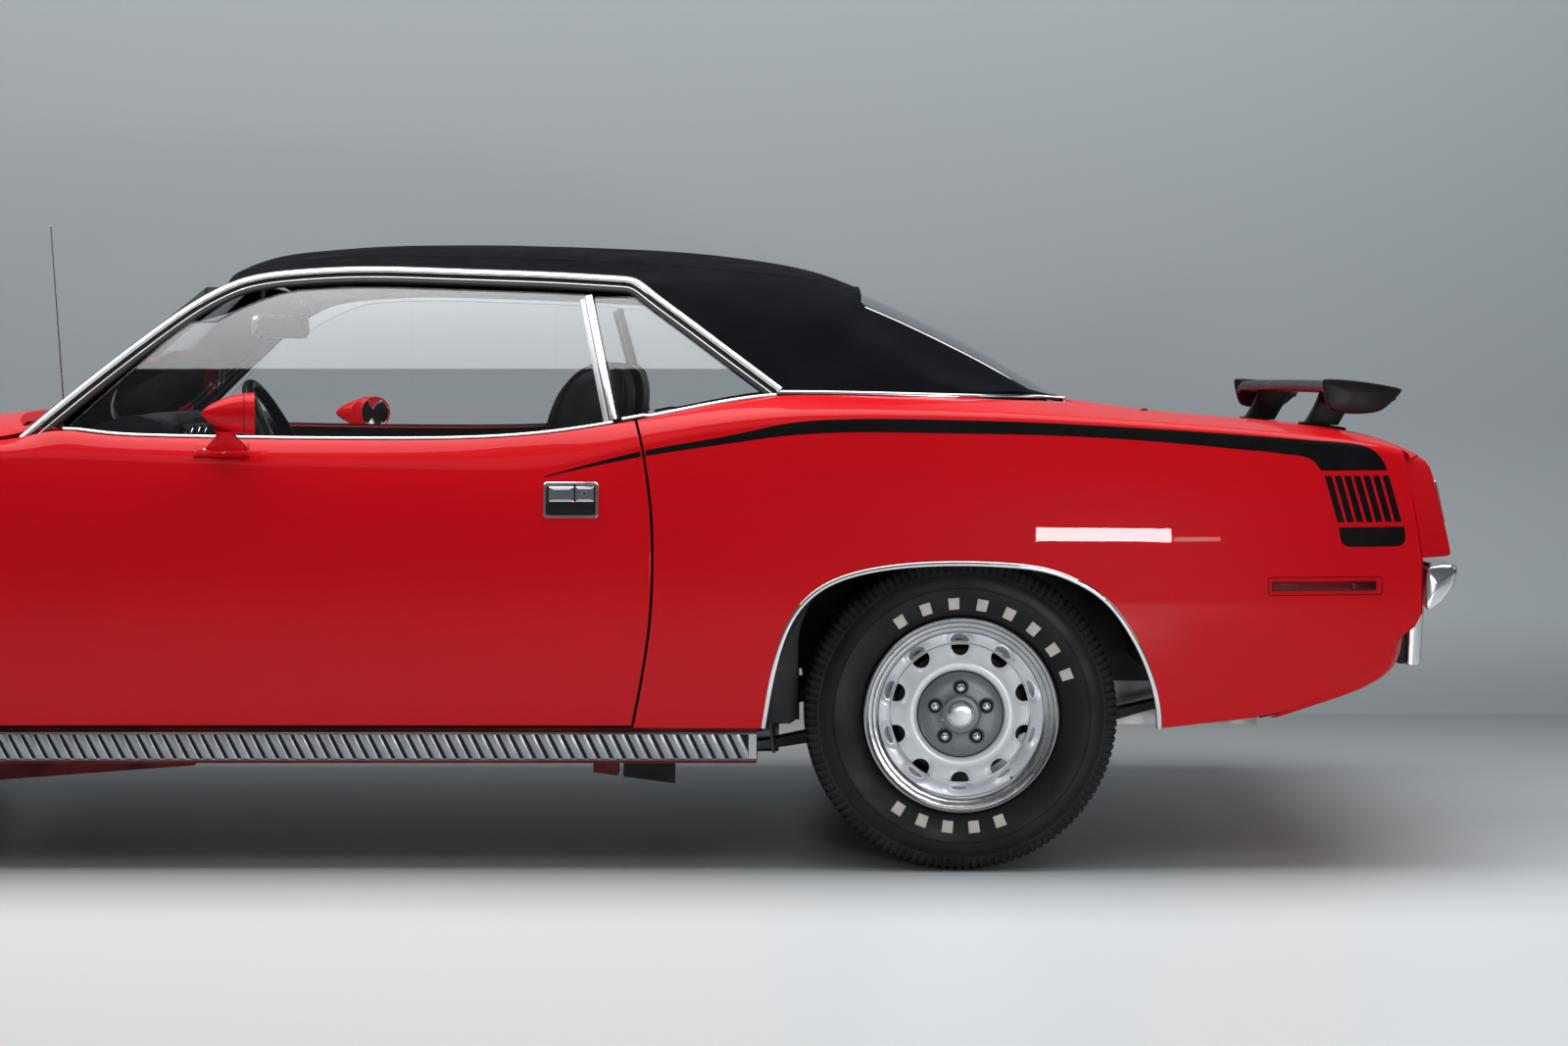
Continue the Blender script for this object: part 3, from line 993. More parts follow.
def make_nose():
    t = np.unique(np.r_[np.linspace(-1, -0.9, 8), np.linspace(-0.9, 0.9, 70), np.linspace(0.9, 1, 8)])
    v = np.r_[0, 0.02, np.linspace(0.05, 0.5, 10), np.linspace(0.5, 1, 10)[1:]]
    T, W = np.meshgrid(t, v, indexing="ij")
    y = 752.0 * T
    xf = hood_front_x(y) + GAP
    xe = 2338 - 18 * np.abs(T) ** 3
    x = np.where(W <= 0.5, lerp(xf, xe, np.clip(W * 2, 0, 1)), lerp(xe, xe - 8.0, np.clip((W - 0.5) * 2, 0, 1)))
    z = np.where(W <= 0.5, top_z(np.minimum(x, 2330), y), lerp(top_z(2330, y), 790.0, np.clip((W - 0.5) * 2, 0, 1)))
    O = np.stack([x, y, z], -1)
    I = np.stack([x - 12.0 * W, y, z - 12.0 * (1 - W) - 1.0], -1)
    M = Mesh()
    M.grid(O, 0, out=(1, 0, 1))
    M.grid(I, 1, out=(-1, 0, -1))
    for k in (0, -1):
        M.grid(np.stack([O[k], I[k]], 0), 0, out=(0, 1 if k else -1, 0))
        M.grid(np.stack([O[:, k], I[:, k]], 0), 0, out=(-1, 0, 0) if k == 0 else (0, 0, -1))
    M.obj("nose_panel_skin", [M_PAINT, M_PAINT_IN], "root", sharp=40, slot="body_paint", replaces="nose_panel")


make_nose()


# ------------------------------------------------------------------ stripe on the quarter and the door
def decal(name, top, bot, body, side=1, lift=0.45, n=120, rows=8, m=M_STRIPE, slot="body_paint"):
    """A painted figure between two lines given as (x, z) runs, lying on the body side."""
    A, B = poly(top, n) if n else np.array(top), poly(bot, n)
    k = np.linspace(0, 1, rows)
    G = A[:, None] + (B - A)[:, None] * k[None, :, None]
    X, Z = G[..., 0], G[..., 1]
    Y = skin_y(X, Z)
    P = np.stack([X, Y, Z], -1)
    e = 1.5
    dx = np.stack([np.full_like(X, 2 * e), skin_y(X + e, Z) - skin_y(X - e, Z), np.zeros_like(X)], -1)
    dz = np.stack([np.zeros_like(X), skin_y(X, Z + e) - skin_y(X, Z - e), np.full_like(X, 2 * e)], -1)
    N = unit(np.cross(dz, dx))
    P = P + N * lift
    if side < 0:
        P, N = mirrored(P), mirrored(N)
    M = Mesh()
    M.grid(P, 0, out=(0, side, 0.5), N=N)
    return M.obj(name, m, body, slot=slot)


ST_TOP = [(-426, 837.5), (-627, 889), (-723, 907), (-826, 925), (-930, 947), (-1034, 956), (-1243, 956), (-1452, 950), (-1660, 939), (-1869, 925), (-1974, 917), (-2078, 910)]
ST_BOT = [(-426, 835.5), (-627, 878), (-826, 908), (-930, 922), (-1014, 928), (-1243, 928), (-1556, 920), (-1765, 905), (-1910, 891)]


def stripe(side, name):
    top, bot = Spl(ST_TOP), Spl(ST_BOT)
    # on the door
    xs = np.linspace(-426, -632, 60)
    keep = xs > DOOR_REAR(top(xs)) + GAP / 2 + 1.0
    xd = xs[keep]
    decal(name + "_door_stripe", np.stack([xd, top(xd)], 1), np.stack([xd, bot(xd)], 1), name + "_door", side, n=60, rows=4)
    x0 = float(DOOR_REAR(885.0)) - GAP / 2 - 1.5
    xq = np.linspace(x0, -1905, 160)
    decal(name + "_quarter_stripe", np.stack([xq, top(xq)], 1), np.stack([xq, bot(xq)], 1), "root", side, n=200, rows=8)
    # the wide end that turns down, with round corners
    t_end = curve([(-1905, float(top(-1905))), (-1974, 917), (-2078, 909.5), (-2128, 904.5), (-2156, 897), (-2176, 884), (-2188, 868), (-2197, 849)], 60)
    b_end = curve([(-1905, float(bot(-1905))), (-1945, 888), (-1982, 883), (-2012, 879.5), (-2029, 874), (-2040, 866), (-2047, 857), (-2052, 849)], 60)
    decal(name + "_stripe_end", t_end, b_end, "root", side, n=60, rows=14)
    # plain slanted bars in the place under it
    x_a, x_b, z_a, z_b, lean = -2060.0, -2199.0, 838.0, 741.0, -27.0
    nb = 7
    for i in range(nb):
        w = (x_b - x_a) / (nb + (nb - 1) * 0.42)
        s0 = x_a + i * w * 1.42
        decal("%s_stripe_bar_%d" % (name, i + 1), [(s0, z_a), (s0 + lean, z_b)], [(s0 + w, z_a), (s0 + w + lean, z_b)], "root", side, n=14, rows=4)
    # the block at the foot, lower corners rounded
    l = [(-2089, 730)] + [tuple(p) for p in curve([(-2093, 708), (-2096, 699), (-2104, 692), (-2113, 689.5)], 8)] + [(-2160, 689)]
    r = [(-2232, 731)] + [tuple(p) for p in curve([(-2234.5, 709), (-2233, 699), (-2226, 692), (-2216, 689.5)], 8)] + [(-2160, 689)]
    decal(name + "_stripe_foot", l, r, "root", side, n=24, rows=12)


both_sides(stripe)


# ------------------------------------------------------------------ roof and pillars under vinyl
def line_front_pillar(z):
    """x of the C-pillar's front edge."""
    return -914.0 + 311.0 * (z - 1014.0) / 232.0


REAR_EDGE = Spl([(0, -1541), (0.10, -1466), (0.35, -1347), (0.66, -1217), (1.0, -1085)])


def pillar_y(x, z):
    """Half width of the vinyl side: the glass surface, drawn in at the pillar's rear edge."""
    V = min(max((z - 1014.0) / 232.0, 0.0), 1.0)
    xf, xr = -914.0 + 311.0 * V, float(REAR_EDGE(V))
    y = float(gh_y(x, z))
    w = float(smooth(((x - xf) / (xr - xf) - 0.62) / 0.38)) if x < xf else 0.0
    return lerp(y, min(y, 622.0), w)


def roof_low(x):
    """Lower edge of the vinyl."""
    if x > -603:
        return float(ZD(x)) + 1.0
    if x > -914:
        return 1014.0 + 232.0 * (x + 914.0) / 311.0
    return float(lerp(1010.0, 999.0, smooth((-914.0 - x) / 627.0)))


def rear_top(x):
    """Height of the pillar's rear edge, beside the rear window."""
    a = float(ZG(x)) - 50.0
    if x < -1466:
        return max(a, lerp(1013.0, 999.4, (-1466.0 - x) / 75.0))
    return a


def y_in(x):
    return float(lerp(536.0, 586.0, smooth((-960.0 - x) / 120.0)))


def roof_rows(x0, K=(14, 16, 26)):
    """Half section from the top's inner line out over the shoulder and down to the lower edge."""
    U = min(max((x0 + 1088.0) / 1410.0, 0.0), 1.0)

    def xx(y):
        return x0 - 30.0 * min(abs(y) / 613.0, 1.0) ** 2.2 * U
    yc = 613.0
    for _ in range(14):
        zc = float(roof_z(max(xx(yc), -1089.0), yc))
        yc = pillar_y(xx(yc), zc)
    zb = roof_low(xx(yc))
    if x0 < -1040:
        k = float(smooth((-1040.0 - x0) / 70.0))
        zr_ = max(rear_top(x0), zb + 0.3)
        yr_ = pillar_y(x0, zr_)
        zc, yc = lerp(zc, zr_, k), lerp(yc, yr_, k)
    a = np.array([y_in(x0), 0.0])
    zin = float(roof_z(max(xx(a[0]), -1089.0), a[0]))
    if x0 < -1040:
        zin = lerp(zin, zc + 5.0 * min(1.0, max(0.0, (x0 + 1541) / 75.0)), float(smooth((-1040.0 - x0) / 70.0)))
    a[1] = zin
    c = np.array([yc, zc])
    k = float(smooth((-620.0 - x0) / 200.0))
    d1 = min(lerp(12.0, 52.0, k), 0.92 * np.linalg.norm(c - a))
    d2 = min(lerp(3.0, 52.0, k), 0.5 * max(zc - zb, 0.4))
    t = np.linspace(0, 1, K[0])[:, None]
    p0 = c + (a - c) / np.linalg.norm(a - c) * d1
    top = a + (p0 - a) * t
    if x0 > -1110:
        kk = 1 - float(smooth((-1040.0 - x0) / 70.0))
        top[:, 1] = lerp(top[:, 1], [float(roof_z(max(xx(q), -1089.0), q)) for q in top[:, 0]], kk)
        p0 = top[-1]
    zs_ = zc - d2
    p2 = np.array([pillar_y(xx(yc), zs_), zs_])
    b = np.linspace(0, 1, K[1])[1:, None]
    bez = (1 - b) ** 2 * p0 + 2 * b * (1 - b) * c + b * b * p2
    z = np.linspace(zs_, zb, K[2])[1:]
    side = np.array([[pillar_y(xx(yc), q), q] for q in z])
    S = np.vstack([top, bez, side])
    return np.stack([[xx(q) for q in S[:, 0]], S[:, 0], S[:, 1]], -1)


def make_roof():
    M = Mesh()
    XA = np.r_[322.0, 320.5, 317.0, np.linspace(312, -1060, 66), -1072.0, -1084.0, -1090.0, -1094.0, -1098.0, -1104.0]
    R = np.stack([roof_rows(x) for x in XA])
    yt = np.linspace(-1, 1, 42)[1:-1]
    mid = []
    for i, x0 in enumerate(XA):
        U = min(max((x0 + 1088.0) / 1410.0, 0.0), 1.0)
        y = yt * R[i, 0, 1]
        x = x0 - 30.0 * (np.abs(y) / 613.0) ** 2.2 * U
        mid.append(np.stack([x, y, roof_z(np.maximum(x, -1089.0), y)], -1))
    mid = np.stack(mid)
    left = R[:, ::-1]
    G = np.concatenate([mirrored(R[:, ::-1]), mid, R], 1)
    N = gnorm(G)
    N = N * np.sign((N * np.array([0, 0, 1.0])).sum())
    n = len(XA) - 1
    G, N = G[:n], N[:n]
    M.grid(G, 0, out=UP, N=N)
    K = R.shape[1]
    # behind the roof's end: the pillars alone
    XB = np.r_[-1072.0, -1084.0, -1090.0, -1094.0, -1098.0, np.linspace(-1108, -1530, 46), -1536.0, -1540.0]
    S = np.stack([roof_rows(x) for x in XB])
    NS = gnorm(S)
    NS = NS * np.sign((NS * np.array([0, 1.0, 0.7])).sum())
    S, NS = S[4:], NS[4:]
    for f, s in ((lambda P: P, 1), (mirrored, -1)):
        M.grid(f(S), 0, out=(0, s, 0.5), N=f(NS))
        # beside the rear window: the edge turned down, and the pillar's foot turned in
        e = S[:, 0]
        q = np.stack([e, e - [0, 0, 12.0]], 1)
        M.grid(f(q), 2, out=(0, -s, 0.2), N=np.broadcast_to(np.array([0, -s, 0.0]), q.shape))
        foot = np.concatenate([R[:n][XA[:n] < -610][:, -1], S[1:, -1]])
        q = np.stack([foot, foot - [0, 14.0, 3.0]], 1)
        M.grid(f(q), 2, out=(0, 0, -1), N=np.broadcast_to(np.array([0, 0, -1.0]), q.shape))
        # inside of the pillar
        J = np.concatenate([R[:n][XA[:n] < -610], S[1:]])[:, 16:]
        J = J - np.array([0, 33.0, 0]) - np.array([0, 0, 8.0]) * smooth((20 - np.arange(J.shape[1])) / 20.0)[None, :, None]
        NJ = gnorm(J)
        NJ = NJ * -np.sign((NJ * np.array([0, 1.0, 0.7])).sum())
        M.grid(f(J), 1, out=(0, -s, -0.5), N=f(NJ))
        # along the drip: turned in
        d = R[:n][XA[:n] >= -640][:, -1]
        q = np.stack([d, d - [0, 12.0, 4.0], d - [0, 20.0, 16.0]], 1)
        M.grid(f(q), 2, out=(0, -s, -1), N=np.broadcast_to(np.array([0, -s * 0.6, -0.8]), q.shape))
    # headliner
    U, T = np.meshgrid(np.linspace(0, 1, 70), np.linspace(-1, 1, 61), indexing="ij")
    x0 = lerp(-1096.0, 318.0, U)
    y = 598.0 * T
    x = x0 - 30.0 * np.abs(T) ** 2.2 * np.clip((x0 + 1088.0) / 1410.0, 0, 1)
    # roof bows: the lining dips between them
    P = np.stack([x, y, roof_z(np.maximum(x, -1089.0), y) - 18.0 - 3.0 * np.abs(np.sin((x - 318.0) / 352.0 * math.pi)) ** 0.6], -1)
    NP = gnorm(P)
    NP = NP * -np.sign((NP * np.array([0, 0, 1.0])).sum())
    M.grid(P, 1, out=(0, 0, -1), N=NP)
    # front and rear edges turned down
    e = G[0]
    q = np.stack([e, e - [3.0, 0, 8.0], e - [10.0, 0, 20.0]], 0)
    M.grid(q, 0, out=(1, 0, -0.3), N=np.broadcast_to(np.array([0.9, 0, -0.3]), q.shape))
    e = mid[n - 1]
    q = np.stack([e, e - [0, 0, 18.0]], 0)
    M.grid(q, 2, out=(-1, 0, 0), N=np.broadcast_to(np.array([-1.0, 0, 0]), q.shape))
    # a welt along the vinyl's two seams, front to rear
    for s in (1, -1):
        w = np.linspace(300, -1088, 120)
        yy = s * 470.0
        xw = w - 30.0 * (470.0 / 613.0) ** 2.2 * np.clip((w + 1088.0) / 1410.0, 0, 1)
        q = np.stack([np.stack([xw, np.full(120, yy + dy), roof_z(np.maximum(xw, -1089.0), yy + dy) + dz], -1) for dy, dz in
                      ((-4.5, -0.4), (-3.6, 0.9), (-1.0, 1.1), (0, 0.5), (1.0, 1.1), (3.6, 0.9), (4.5, -0.4))], 1)
        NQ = gnorm(q)
        NQ = NQ * np.sign((NQ * np.array([0, 0, 1.0])).sum())
        M.grid(q, 0, out=UP, N=NQ)
    # windshield pillars
    for s in (1, -1):
        a = np.array([(712, 832, 905), (664, 836, 905), (664, 798, 905), (712, 798, 905)], float)
        b = np.array([(336, 616, 1228), (288, 618, 1228), (280, 570, 1242), (340, 570, 1242)], float)
        R2 = np.stack([a + (b - a) * q for q in np.linspace(0, 1, 24)], 0) * [1, s, 1]
        G2 = np.concatenate([R2, R2[:, :1]], 1)
        for e in range(4):
            seg = G2[:, e:e + 2]
            c = seg.mean((0, 1)) - R2.mean((0, 1))
            Nn = unit(np.cross(seg[1, 0] - seg[0, 0], seg[0, 1] - seg[0, 0]))
            if Nn @ c < 0:
                Nn = -Nn
            M.grid(seg, 2, out=tuple(Nn), N=np.broadcast_to(Nn, seg.shape))
    M.obj("vinyl_roof", [M_VINYL, M_LINER, M_SEAL], "root", slot="roof_vinyl", replaces="roof")


make_roof()


# ------------------------------------------------------------------ camera, floor, light
def graded(name, axis, lo, hi, stops, rough, see_through=False):
    """Studio surface whose tone changes slowly along one of its own axes."""
    m = bpy.data.materials.new(name)
    t, N, L = nodes_of(m)
    p = N["Principled BSDF"]
    p.inputs["Roughness"].default_value = rough
    p.inputs["Specular IOR Level"].default_value = 0.3
    tc = N.new("ShaderNodeTexCoord")
    sp = N.new("ShaderNodeSeparateXYZ")
    L.new(tc.outputs["Object"], sp.inputs["Vector"])
    r = N.new("ShaderNodeMapRange")
    r.inputs["From Min"].default_value = lo
    r.inputs["From Max"].default_value = hi
    L.new(sp.outputs[axis], r.inputs["Value"])
    cr = N.new("ShaderNodeValToRGB")
    cr.color_ramp.interpolation = "EASE"
    e = cr.color_ramp.elements
    e[0].position, e[0].color = stops[0][0], (*stops[0][1], 1)
    e[1].position, e[1].color = stops[-1][0], (*stops[-1][1], 1)
    for pos, col in stops[1:-1]:
        q = e.new(pos)
        q.color = (*col, 1)
    L.new(r.outputs["Result"], cr.inputs["Fac"])
    L.new(cr.outputs["Color"], p.inputs["Base Color"])
    if see_through:
        # the backdrop has only a front: from behind it the object still shows
        ge = N.new("ShaderNodeNewGeometry")
        tr = N.new("ShaderNodeBsdfTransparent")
        mx = N.new("ShaderNodeMixShader")
        L.new(ge.outputs["Backfacing"], mx.inputs["Fac"])
        L.new(p.outputs["BSDF"], mx.inputs[1])
        L.new(tr.outputs["BSDF"], mx.inputs[2])
        L.new(mx.outputs["Shader"], N["Material Output"].inputs["Surface"])
    return m


def stage():
    F = 3166.0
    cam = bpy.data.cameras.new("camera")
    cam.sensor_width = 36.0
    cam.lens = F / 1600.0 * 36.0
    cam.clip_end = 200.0
    co = bpy.data.objects.new("camera", cam)
    co.location = (-0.928, 7.4, 1.0439)
    co.rotation_euler = (math.radians(90 - 2.685), 0, math.radians(180))
    bpy.context.scene.collection.objects.link(co)
    bpy.context.scene.camera = co
    # the floor, and a wall that starts from it with a soft turn
    r = 0.9
    turn = [(-2.2 - r * math.sin(math.radians(90 * k / 12)), r - r * math.cos(math.radians(90 * k / 12))) for k in range(1, 13)]
    far = (0.235, 0.252, 0.262)
    floor = graded("studio_floor", "Y", -6.0, 2.4, [(0.0, (0.55, 0.59, 0.61)), (0.333, (0.44, 0.47, 0.49)), (0.4524, (0.205, 0.219, 0.228)), (0.6988, (0.42, 0.445, 0.46)), (0.8905, (0.68, 0.73, 0.75))], 0.40)
    wall = graded("studio_wall", "Z", 0.0, 3.0, [(0.0, far), (0.10, (0.325, 0.362, 0.386)), (0.28, (0.35, 0.39, 0.415)), (1.0, (0.415, 0.475, 0.505))], 0.6, True)
    for name, prof, mat in (("studio_floor", [(60.0, 0.0), (9.0, 0.0), (4.0, 0.0), (-2.2, 0.0)], floor),
                            ("studio_floor_back", [(-2.2, -0.004), (-3.4, -0.004), (-60.0, -0.004)], floor),
                            ("studio_wall", [(-2.2, 0.0)] + turn + [(-3.1, 14.0)], wall)):
        xs = np.linspace(-45, 45, 3)
        V = [(x, y, z) for y, z in prof for x in xs]
        Fc = []
        for i in range(len(prof) - 1):
            for j in range(2):
                Fc.append((i * 3 + j, (i + 1) * 3 + j, (i + 1) * 3 + j + 1, i * 3 + j + 1))
        me = bpy.data.meshes.new(name)
        me.from_pydata(V, [], Fc)
        me.shade_smooth()
        me.materials.append(mat)
        o = bpy.data.objects.new(name, me)
        bpy.context.scene.collection.objects.link(o)
        if name == "studio_wall":
            o.visible_shadow = False
    w = bpy.data.worlds.new("studio")
    bpy.context.scene.world = w
    w.use_nodes = True
    w.node_tree.nodes["Background"].inputs["Color"].default_value = (0.80, 0.86, 0.92, 1)
    w.node_tree.nodes["Background"].inputs["Strength"].default_value = 0.13

    def area(name, loc, rot, sx, sy, power, col=(1, 1, 1)):
        l = bpy.data.lights.new(name, "AREA")
        l.shape = "RECTANGLE"
        l.size, l.size_y = sx, sy
        l.energy = power
        l.color = col
        q = bpy.data.objects.new(name, l)
        q.location = loc
        q.rotation_euler = rot
        q.visible_camera = False
        bpy.context.scene.collection.objects.link(q)
        return q
    area("ceiling_light", (0.25, 0.35, 4.6), (0, 0, 0), 9.0, 3.6, 400, (1.0, 0.99, 0.98))
    area("front_light", (-0.1, 5.6, 5.6), (math.radians(-14), 0, 0), 9.0, 3.0, 60, (1.0, 0.995, 0.985))
    area("strip_light", (-2.223, 5.0, 0.60), (math.radians(-90), 0, 0), 0.79, 0.19, 31)
    area("strip_tail_light", (-2.81, 5.0, 0.535), (math.radians(-90), 0, 0), 0.35, 0.05, 0.6)
    area("end_light", (-7.0, 1.0, 3.4), (0, math.radians(-62), 0), 3.0, 2.0, 20)
    sc = bpy.context.scene
    sc.view_settings.view_transform = "Standard"


stage()


# ------------------------------------------------------------------ tyres and wheels
WHEELS = {"rear": (-1302.0, 771.0, 245.0), "front": (1441.0, 758.0, 235.0)}
HUB_Z = 332.0


def turned(M, prof, cx, m=0, n=120, out=(0, 1.0, 0)):
    """Profile of (radius, y) turned about the wheel's axis; out is the side that shows."""
    t = np.linspace(0, 2 * math.pi, n, endpoint=False)
    r = np.array([p[0] for p in prof], float)
    y = np.array([p[1] for p in prof], float)
    P = np.stack([cx + np.cos(t)[:, None] * r, np.broadcast_to(y, (n, len(r))), HUB_Z + np.sin(t)[:, None] * r], -1)
    if out == "round":
        h = lambda Q: (Q - [cx, 0, HUB_Z]) * [1.0, 0, 1.0]
    elif out == "hole":
        h = lambda Q: -(Q - [cx, 0, HUB_Z]) * [1.0, 0, 1.0]
    else:
        h = out
    return M.grid(P, m, cu=True, out=h)


SIDEWALL = [(190.5, -32), (200, -26.5), (205, -22), (209, -17), (214, -12.5), (221, -9.2), (232, -6.0), (246, -3.0), (262, -0.6), (268, -0.3), (269.4, -1.6), (271.6, -1.6), (273, -0.2),
            (284, -0.6), (293, -2.0), (300, -4.2)]
BUTTRESS = [(300, -4.2), (305, -6.8), (311, -11.0), (317, -15.2), (322, -19.0), (326.5, -24.0), (330, -31.0), (331.6, -37.5)]


def side_off(r):
    return np.interp(r, [p[0] for p in SIDEWALL], [p[1] for p in SIDEWALL])


def tyre_mesh(cx, cy, w):
    h = w / 2.0
    M = Mesh()
    n = 124
    loc = np.array([0.0, 0.5, 0.56, 0.94])
    t = ((np.arange(n)[:, None] + loc[None]) / n * 2 * math.pi).reshape(-1)
    slot = np.tile([0.0, 0.0, 1.0, 1.0], n)
    zig = np.tile([-1.0, 1.0, 1.0, -1.0], n)
    for s in (1, -1):
        r = np.array([p[0] for p in SIDEWALL], float)
        y = cy + s * (h + np.array([p[1] for p in SIDEWALL], float))
        ts = np.linspace(0, 2 * math.pi, 180, endpoint=False)
        P = np.stack([cx + np.cos(ts)[:, None] * r, np.broadcast_to(y, (len(ts), len(r))), HUB_Z + np.sin(ts)[:, None] * r], -1)
        M.grid(P, 0, cu=True, out=(0, float(s), 0))
    # tread: shoulder blocks, zigzag grooves
    half = [(r, h + o, 1.0 if i > 1 else 0.0) for i, (r, o) in enumerate(BUTTRESS)]
    a = h - 52.0
    half += [(331.9, a + 1.5, 1.0), (332.0, a, 0.4), (325.5, a - 1.0, 0.0), (325.5, a - 8.0, 0.0), (332.0, a - 9.0, 0.0), (332.0, 43.0, 0.0), (325.5, 42.0, 0.0), (325.5, 34.0, 0.0), (332.0, 33.0, 0.0),
             (332.0, 5.0, 0.0), (325.5, 4.0, 0.0)]
    prof = half + [(r, -y, k) for r, y, k in half[::-1]]
    r = np.array([p[0] for p in prof])
    y = np.array([p[1] for p in prof])
    k = np.array([p[2] for p in prof])
    R = r[None] - slot[:, None] * k[None] * 4.2
    zk = (np.abs(y) < h - 50.0) * 3.0
    Y = cy + y[None] + zig[:, None] * zk[None] - np.sign(y)[None] * slot[:, None] * k[None] * 1.2
    P = np.stack([cx + np.cos(t)[:, None] * R, Y, HUB_Z + np.sin(t)[:, None] * R], -1)
    M.grid(P, 1, cu=True, out=lambda Q: (Q - [cx, cy, HUB_Z]) * [1.0, 0.3, 1.0])
    # plain raised white blocks on the outer sidewall
    deg = [-33, -18.5, -4, 10.5, 25, 39.5, 54, 68.5] + [160, 173.5, 187, 200.5, 214]
    for d in deg:
        a0 = math.radians(90 + d)

        def bend(V):
            rr = 237.0 + V[:, 2]
            aa = a0 - V[:, 0] / 237.0
            return np.stack([cx + rr * np.cos(aa), cy + h + side_off(rr) + V[:, 1], HUB_Z + rr * np.sin(aa)], -1)
        for x0, x1 in ((-11.5, -3.8), (-3.8, 3.8), (3.8, 11.5)):
            pass
        M.block(-11.5, 11.5, -1.5, 1.0, -12.5, 12.5, 2, b=1.0, f=bend)
    return M


def face_off(r):
    return np.interp(r, [91, 93, 96, 101, 107, 113, 119, 124, 132, 143, 152, 160, 166, 172], [-47, -43.6, -40.4, -38.4, -38.0, -39.8, -43.5, -47.0, -51.2, -56.5, -61, -66, -70, -75])


def wheel_mesh(cx, cy, w):
    h = w / 2.0
    o = cy + h
    M = Mesh()
    HR, HD = 143.0, 19.5

    def height(x, z):
        r = np.hypot(x, z)
        a = np.arctan2(z, x)
        k = np.round((a - math.pi / 2) / (math.pi / 5))
        c = math.pi / 2 + k * math.pi / 5
        d = np.hypot(x - HR * np.cos(c), z - HR * np.sin(c))
        f = face_off(r) - 3.0 * np.exp(-np.maximum(d - HD, 0) ** 2 / 60.0) + 0.9 * np.exp(-((d - HD - 8.5) / 3.0) ** 2)
        return o + f

    # sector around one hole
    tm = math.pi / 10
    r0, r1 = 118.0, 166.0
    bp = [(r1, q) for q in np.linspace(-tm, tm, 17)[:-1]] + [(q, tm) for q in np.linspace(r1, r0, 9)[:-1]] + [(r0, q) for q in np.linspace(tm, -tm, 17)[:-1]] + [(q, -tm) for q in np.linspace(r0, r1, 9)[:-1]]
    bp = np.array(bp)
    B = np.stack([bp[:, 0] * np.cos(bp[:, 1]), bp[:, 0] * np.sin(bp[:, 1])], -1)
    al = np.arctan2(bp[:, 1] * HR, bp[:, 0] - HR)
    C = np.stack([HR + HD * np.cos(al), HD * np.sin(al)], -1)
    s = np.array([0, 0.06, 0.15, 0.3, 0.5, 0.75, 1.0])
    G = C[None] + (B - C)[None] * s[:, None, None]
    for q in range(10):
        a = math.pi / 2 + q * math.pi / 5
        X = G[..., 0] * math.cos(a) - G[..., 1] * math.sin(a)
        Z = G[..., 0] * math.sin(a) + G[..., 1] * math.cos(a)
        P = np.stack([cx + X, height(X, Z), HUB_Z + Z], -1)
        M.grid(P, 0, cv=True, out=(0, 1, 0))
        W = np.stack([P[0], P[0] - [0, 2.0, 0], P[0] - [0, 11.0, 0]])
        W[1:, :, 0] += (W[1:, :, 0] - cx - HR * math.cos(a)) * -0.03
        M.grid(W, 0, cv=True, out=lambda Q: -(Q - [cx + HR * math.cos(a), o - 55, HUB_Z + HR * math.sin(a)]) * [1, 0, 1])
    for ra, rb, k in ((91.0, 118.0, 10), (166.0, 172.0, 4)):
        t = np.linspace(0, 2 * math.pi, 160, endpoint=False) + math.pi / 2 + tm
        r = np.linspace(ra, rb, k)
        X, Z = np.cos(t)[:, None] * r, np.sin(t)[:, None] * r
        M.grid(np.stack([cx + X, height(X, Z), HUB_Z + Z], -1), 0, cu=True, out=(0, 1, 0))
    # barrel
    i = cy - h
    turned(M, [(172, o - 75), (172, i + 42), (184, i + 18), (195, i + 12.5), (206, i + 12.2), (206.6, i + 14), (206.4, i + 19), (197, i + 22), (190.4, i + 30)], cx, 0, 120, "hole")
    turned(M, [(190.2, i + 30), (190.2, o - 31), (198, o - 24), (206.6, o - 19)], cx, 0, 96, "round")
    # trim ring
    ring = [(206.7, -20), (206.7, -13.5), (205.6, -9.8), (202.5, -7.8), (199, -8.6), (196.4, -11.6), (195.2, -13.2), (191, -13.8), (188.2, -14.6), (186.4, -17.6), (185.2, -19.2), (180.5, -19.8), (177.8, -20.8),
            (175.2, -22.8), (173.6, -25.2)]
    turned(M, [(r, o + y) for r, y in ring], cx, 6, 120)
    cone = [(173.6, -25.2), (166, -36.0), (158, -47.3), (151.2, -56.9), (150.2, -57.3), (148.4, -56.5), (147.0, -57.3), (146.6, -59.0), (147.4, -60.6), (149.2, -61.4)]
    turned(M, [(r, o + y) for r, y in cone], cx, 1, 120)
    # centre disc, cap, nuts
    turned(M, [(91.4, o - 47), (89.6, o - 42), (88.8, o - 39.2), (87.0, o - 37.8), (60, o - 36.6), (44, o - 36.4), (41.6, o - 35.4), (40.2, o - 33.2), (37.6, o - 32.2), (30.0, o - 32.0), (28.4, o - 33.4)], cx, 2, 84)
    turned(M, [(92.6, o - 45.4), (91.4, o - 43.8), (90.2, o - 45.0)], cx, 4, 84)
    turned(M, [(28.4, o - 33.4), (25.8, o - 32.6), (25.4, o - 24.6), (24.0, o - 22.4), (21.8, o - 21.6), (8, o - 21.2), (0.01, o - 21.2)], cx, 3, 80)
    for k in range(5):
        a = math.radians(90 + 72 * k)
        c = (cx + 57 * math.cos(a), 0, HUB_Z + 57 * math.sin(a))

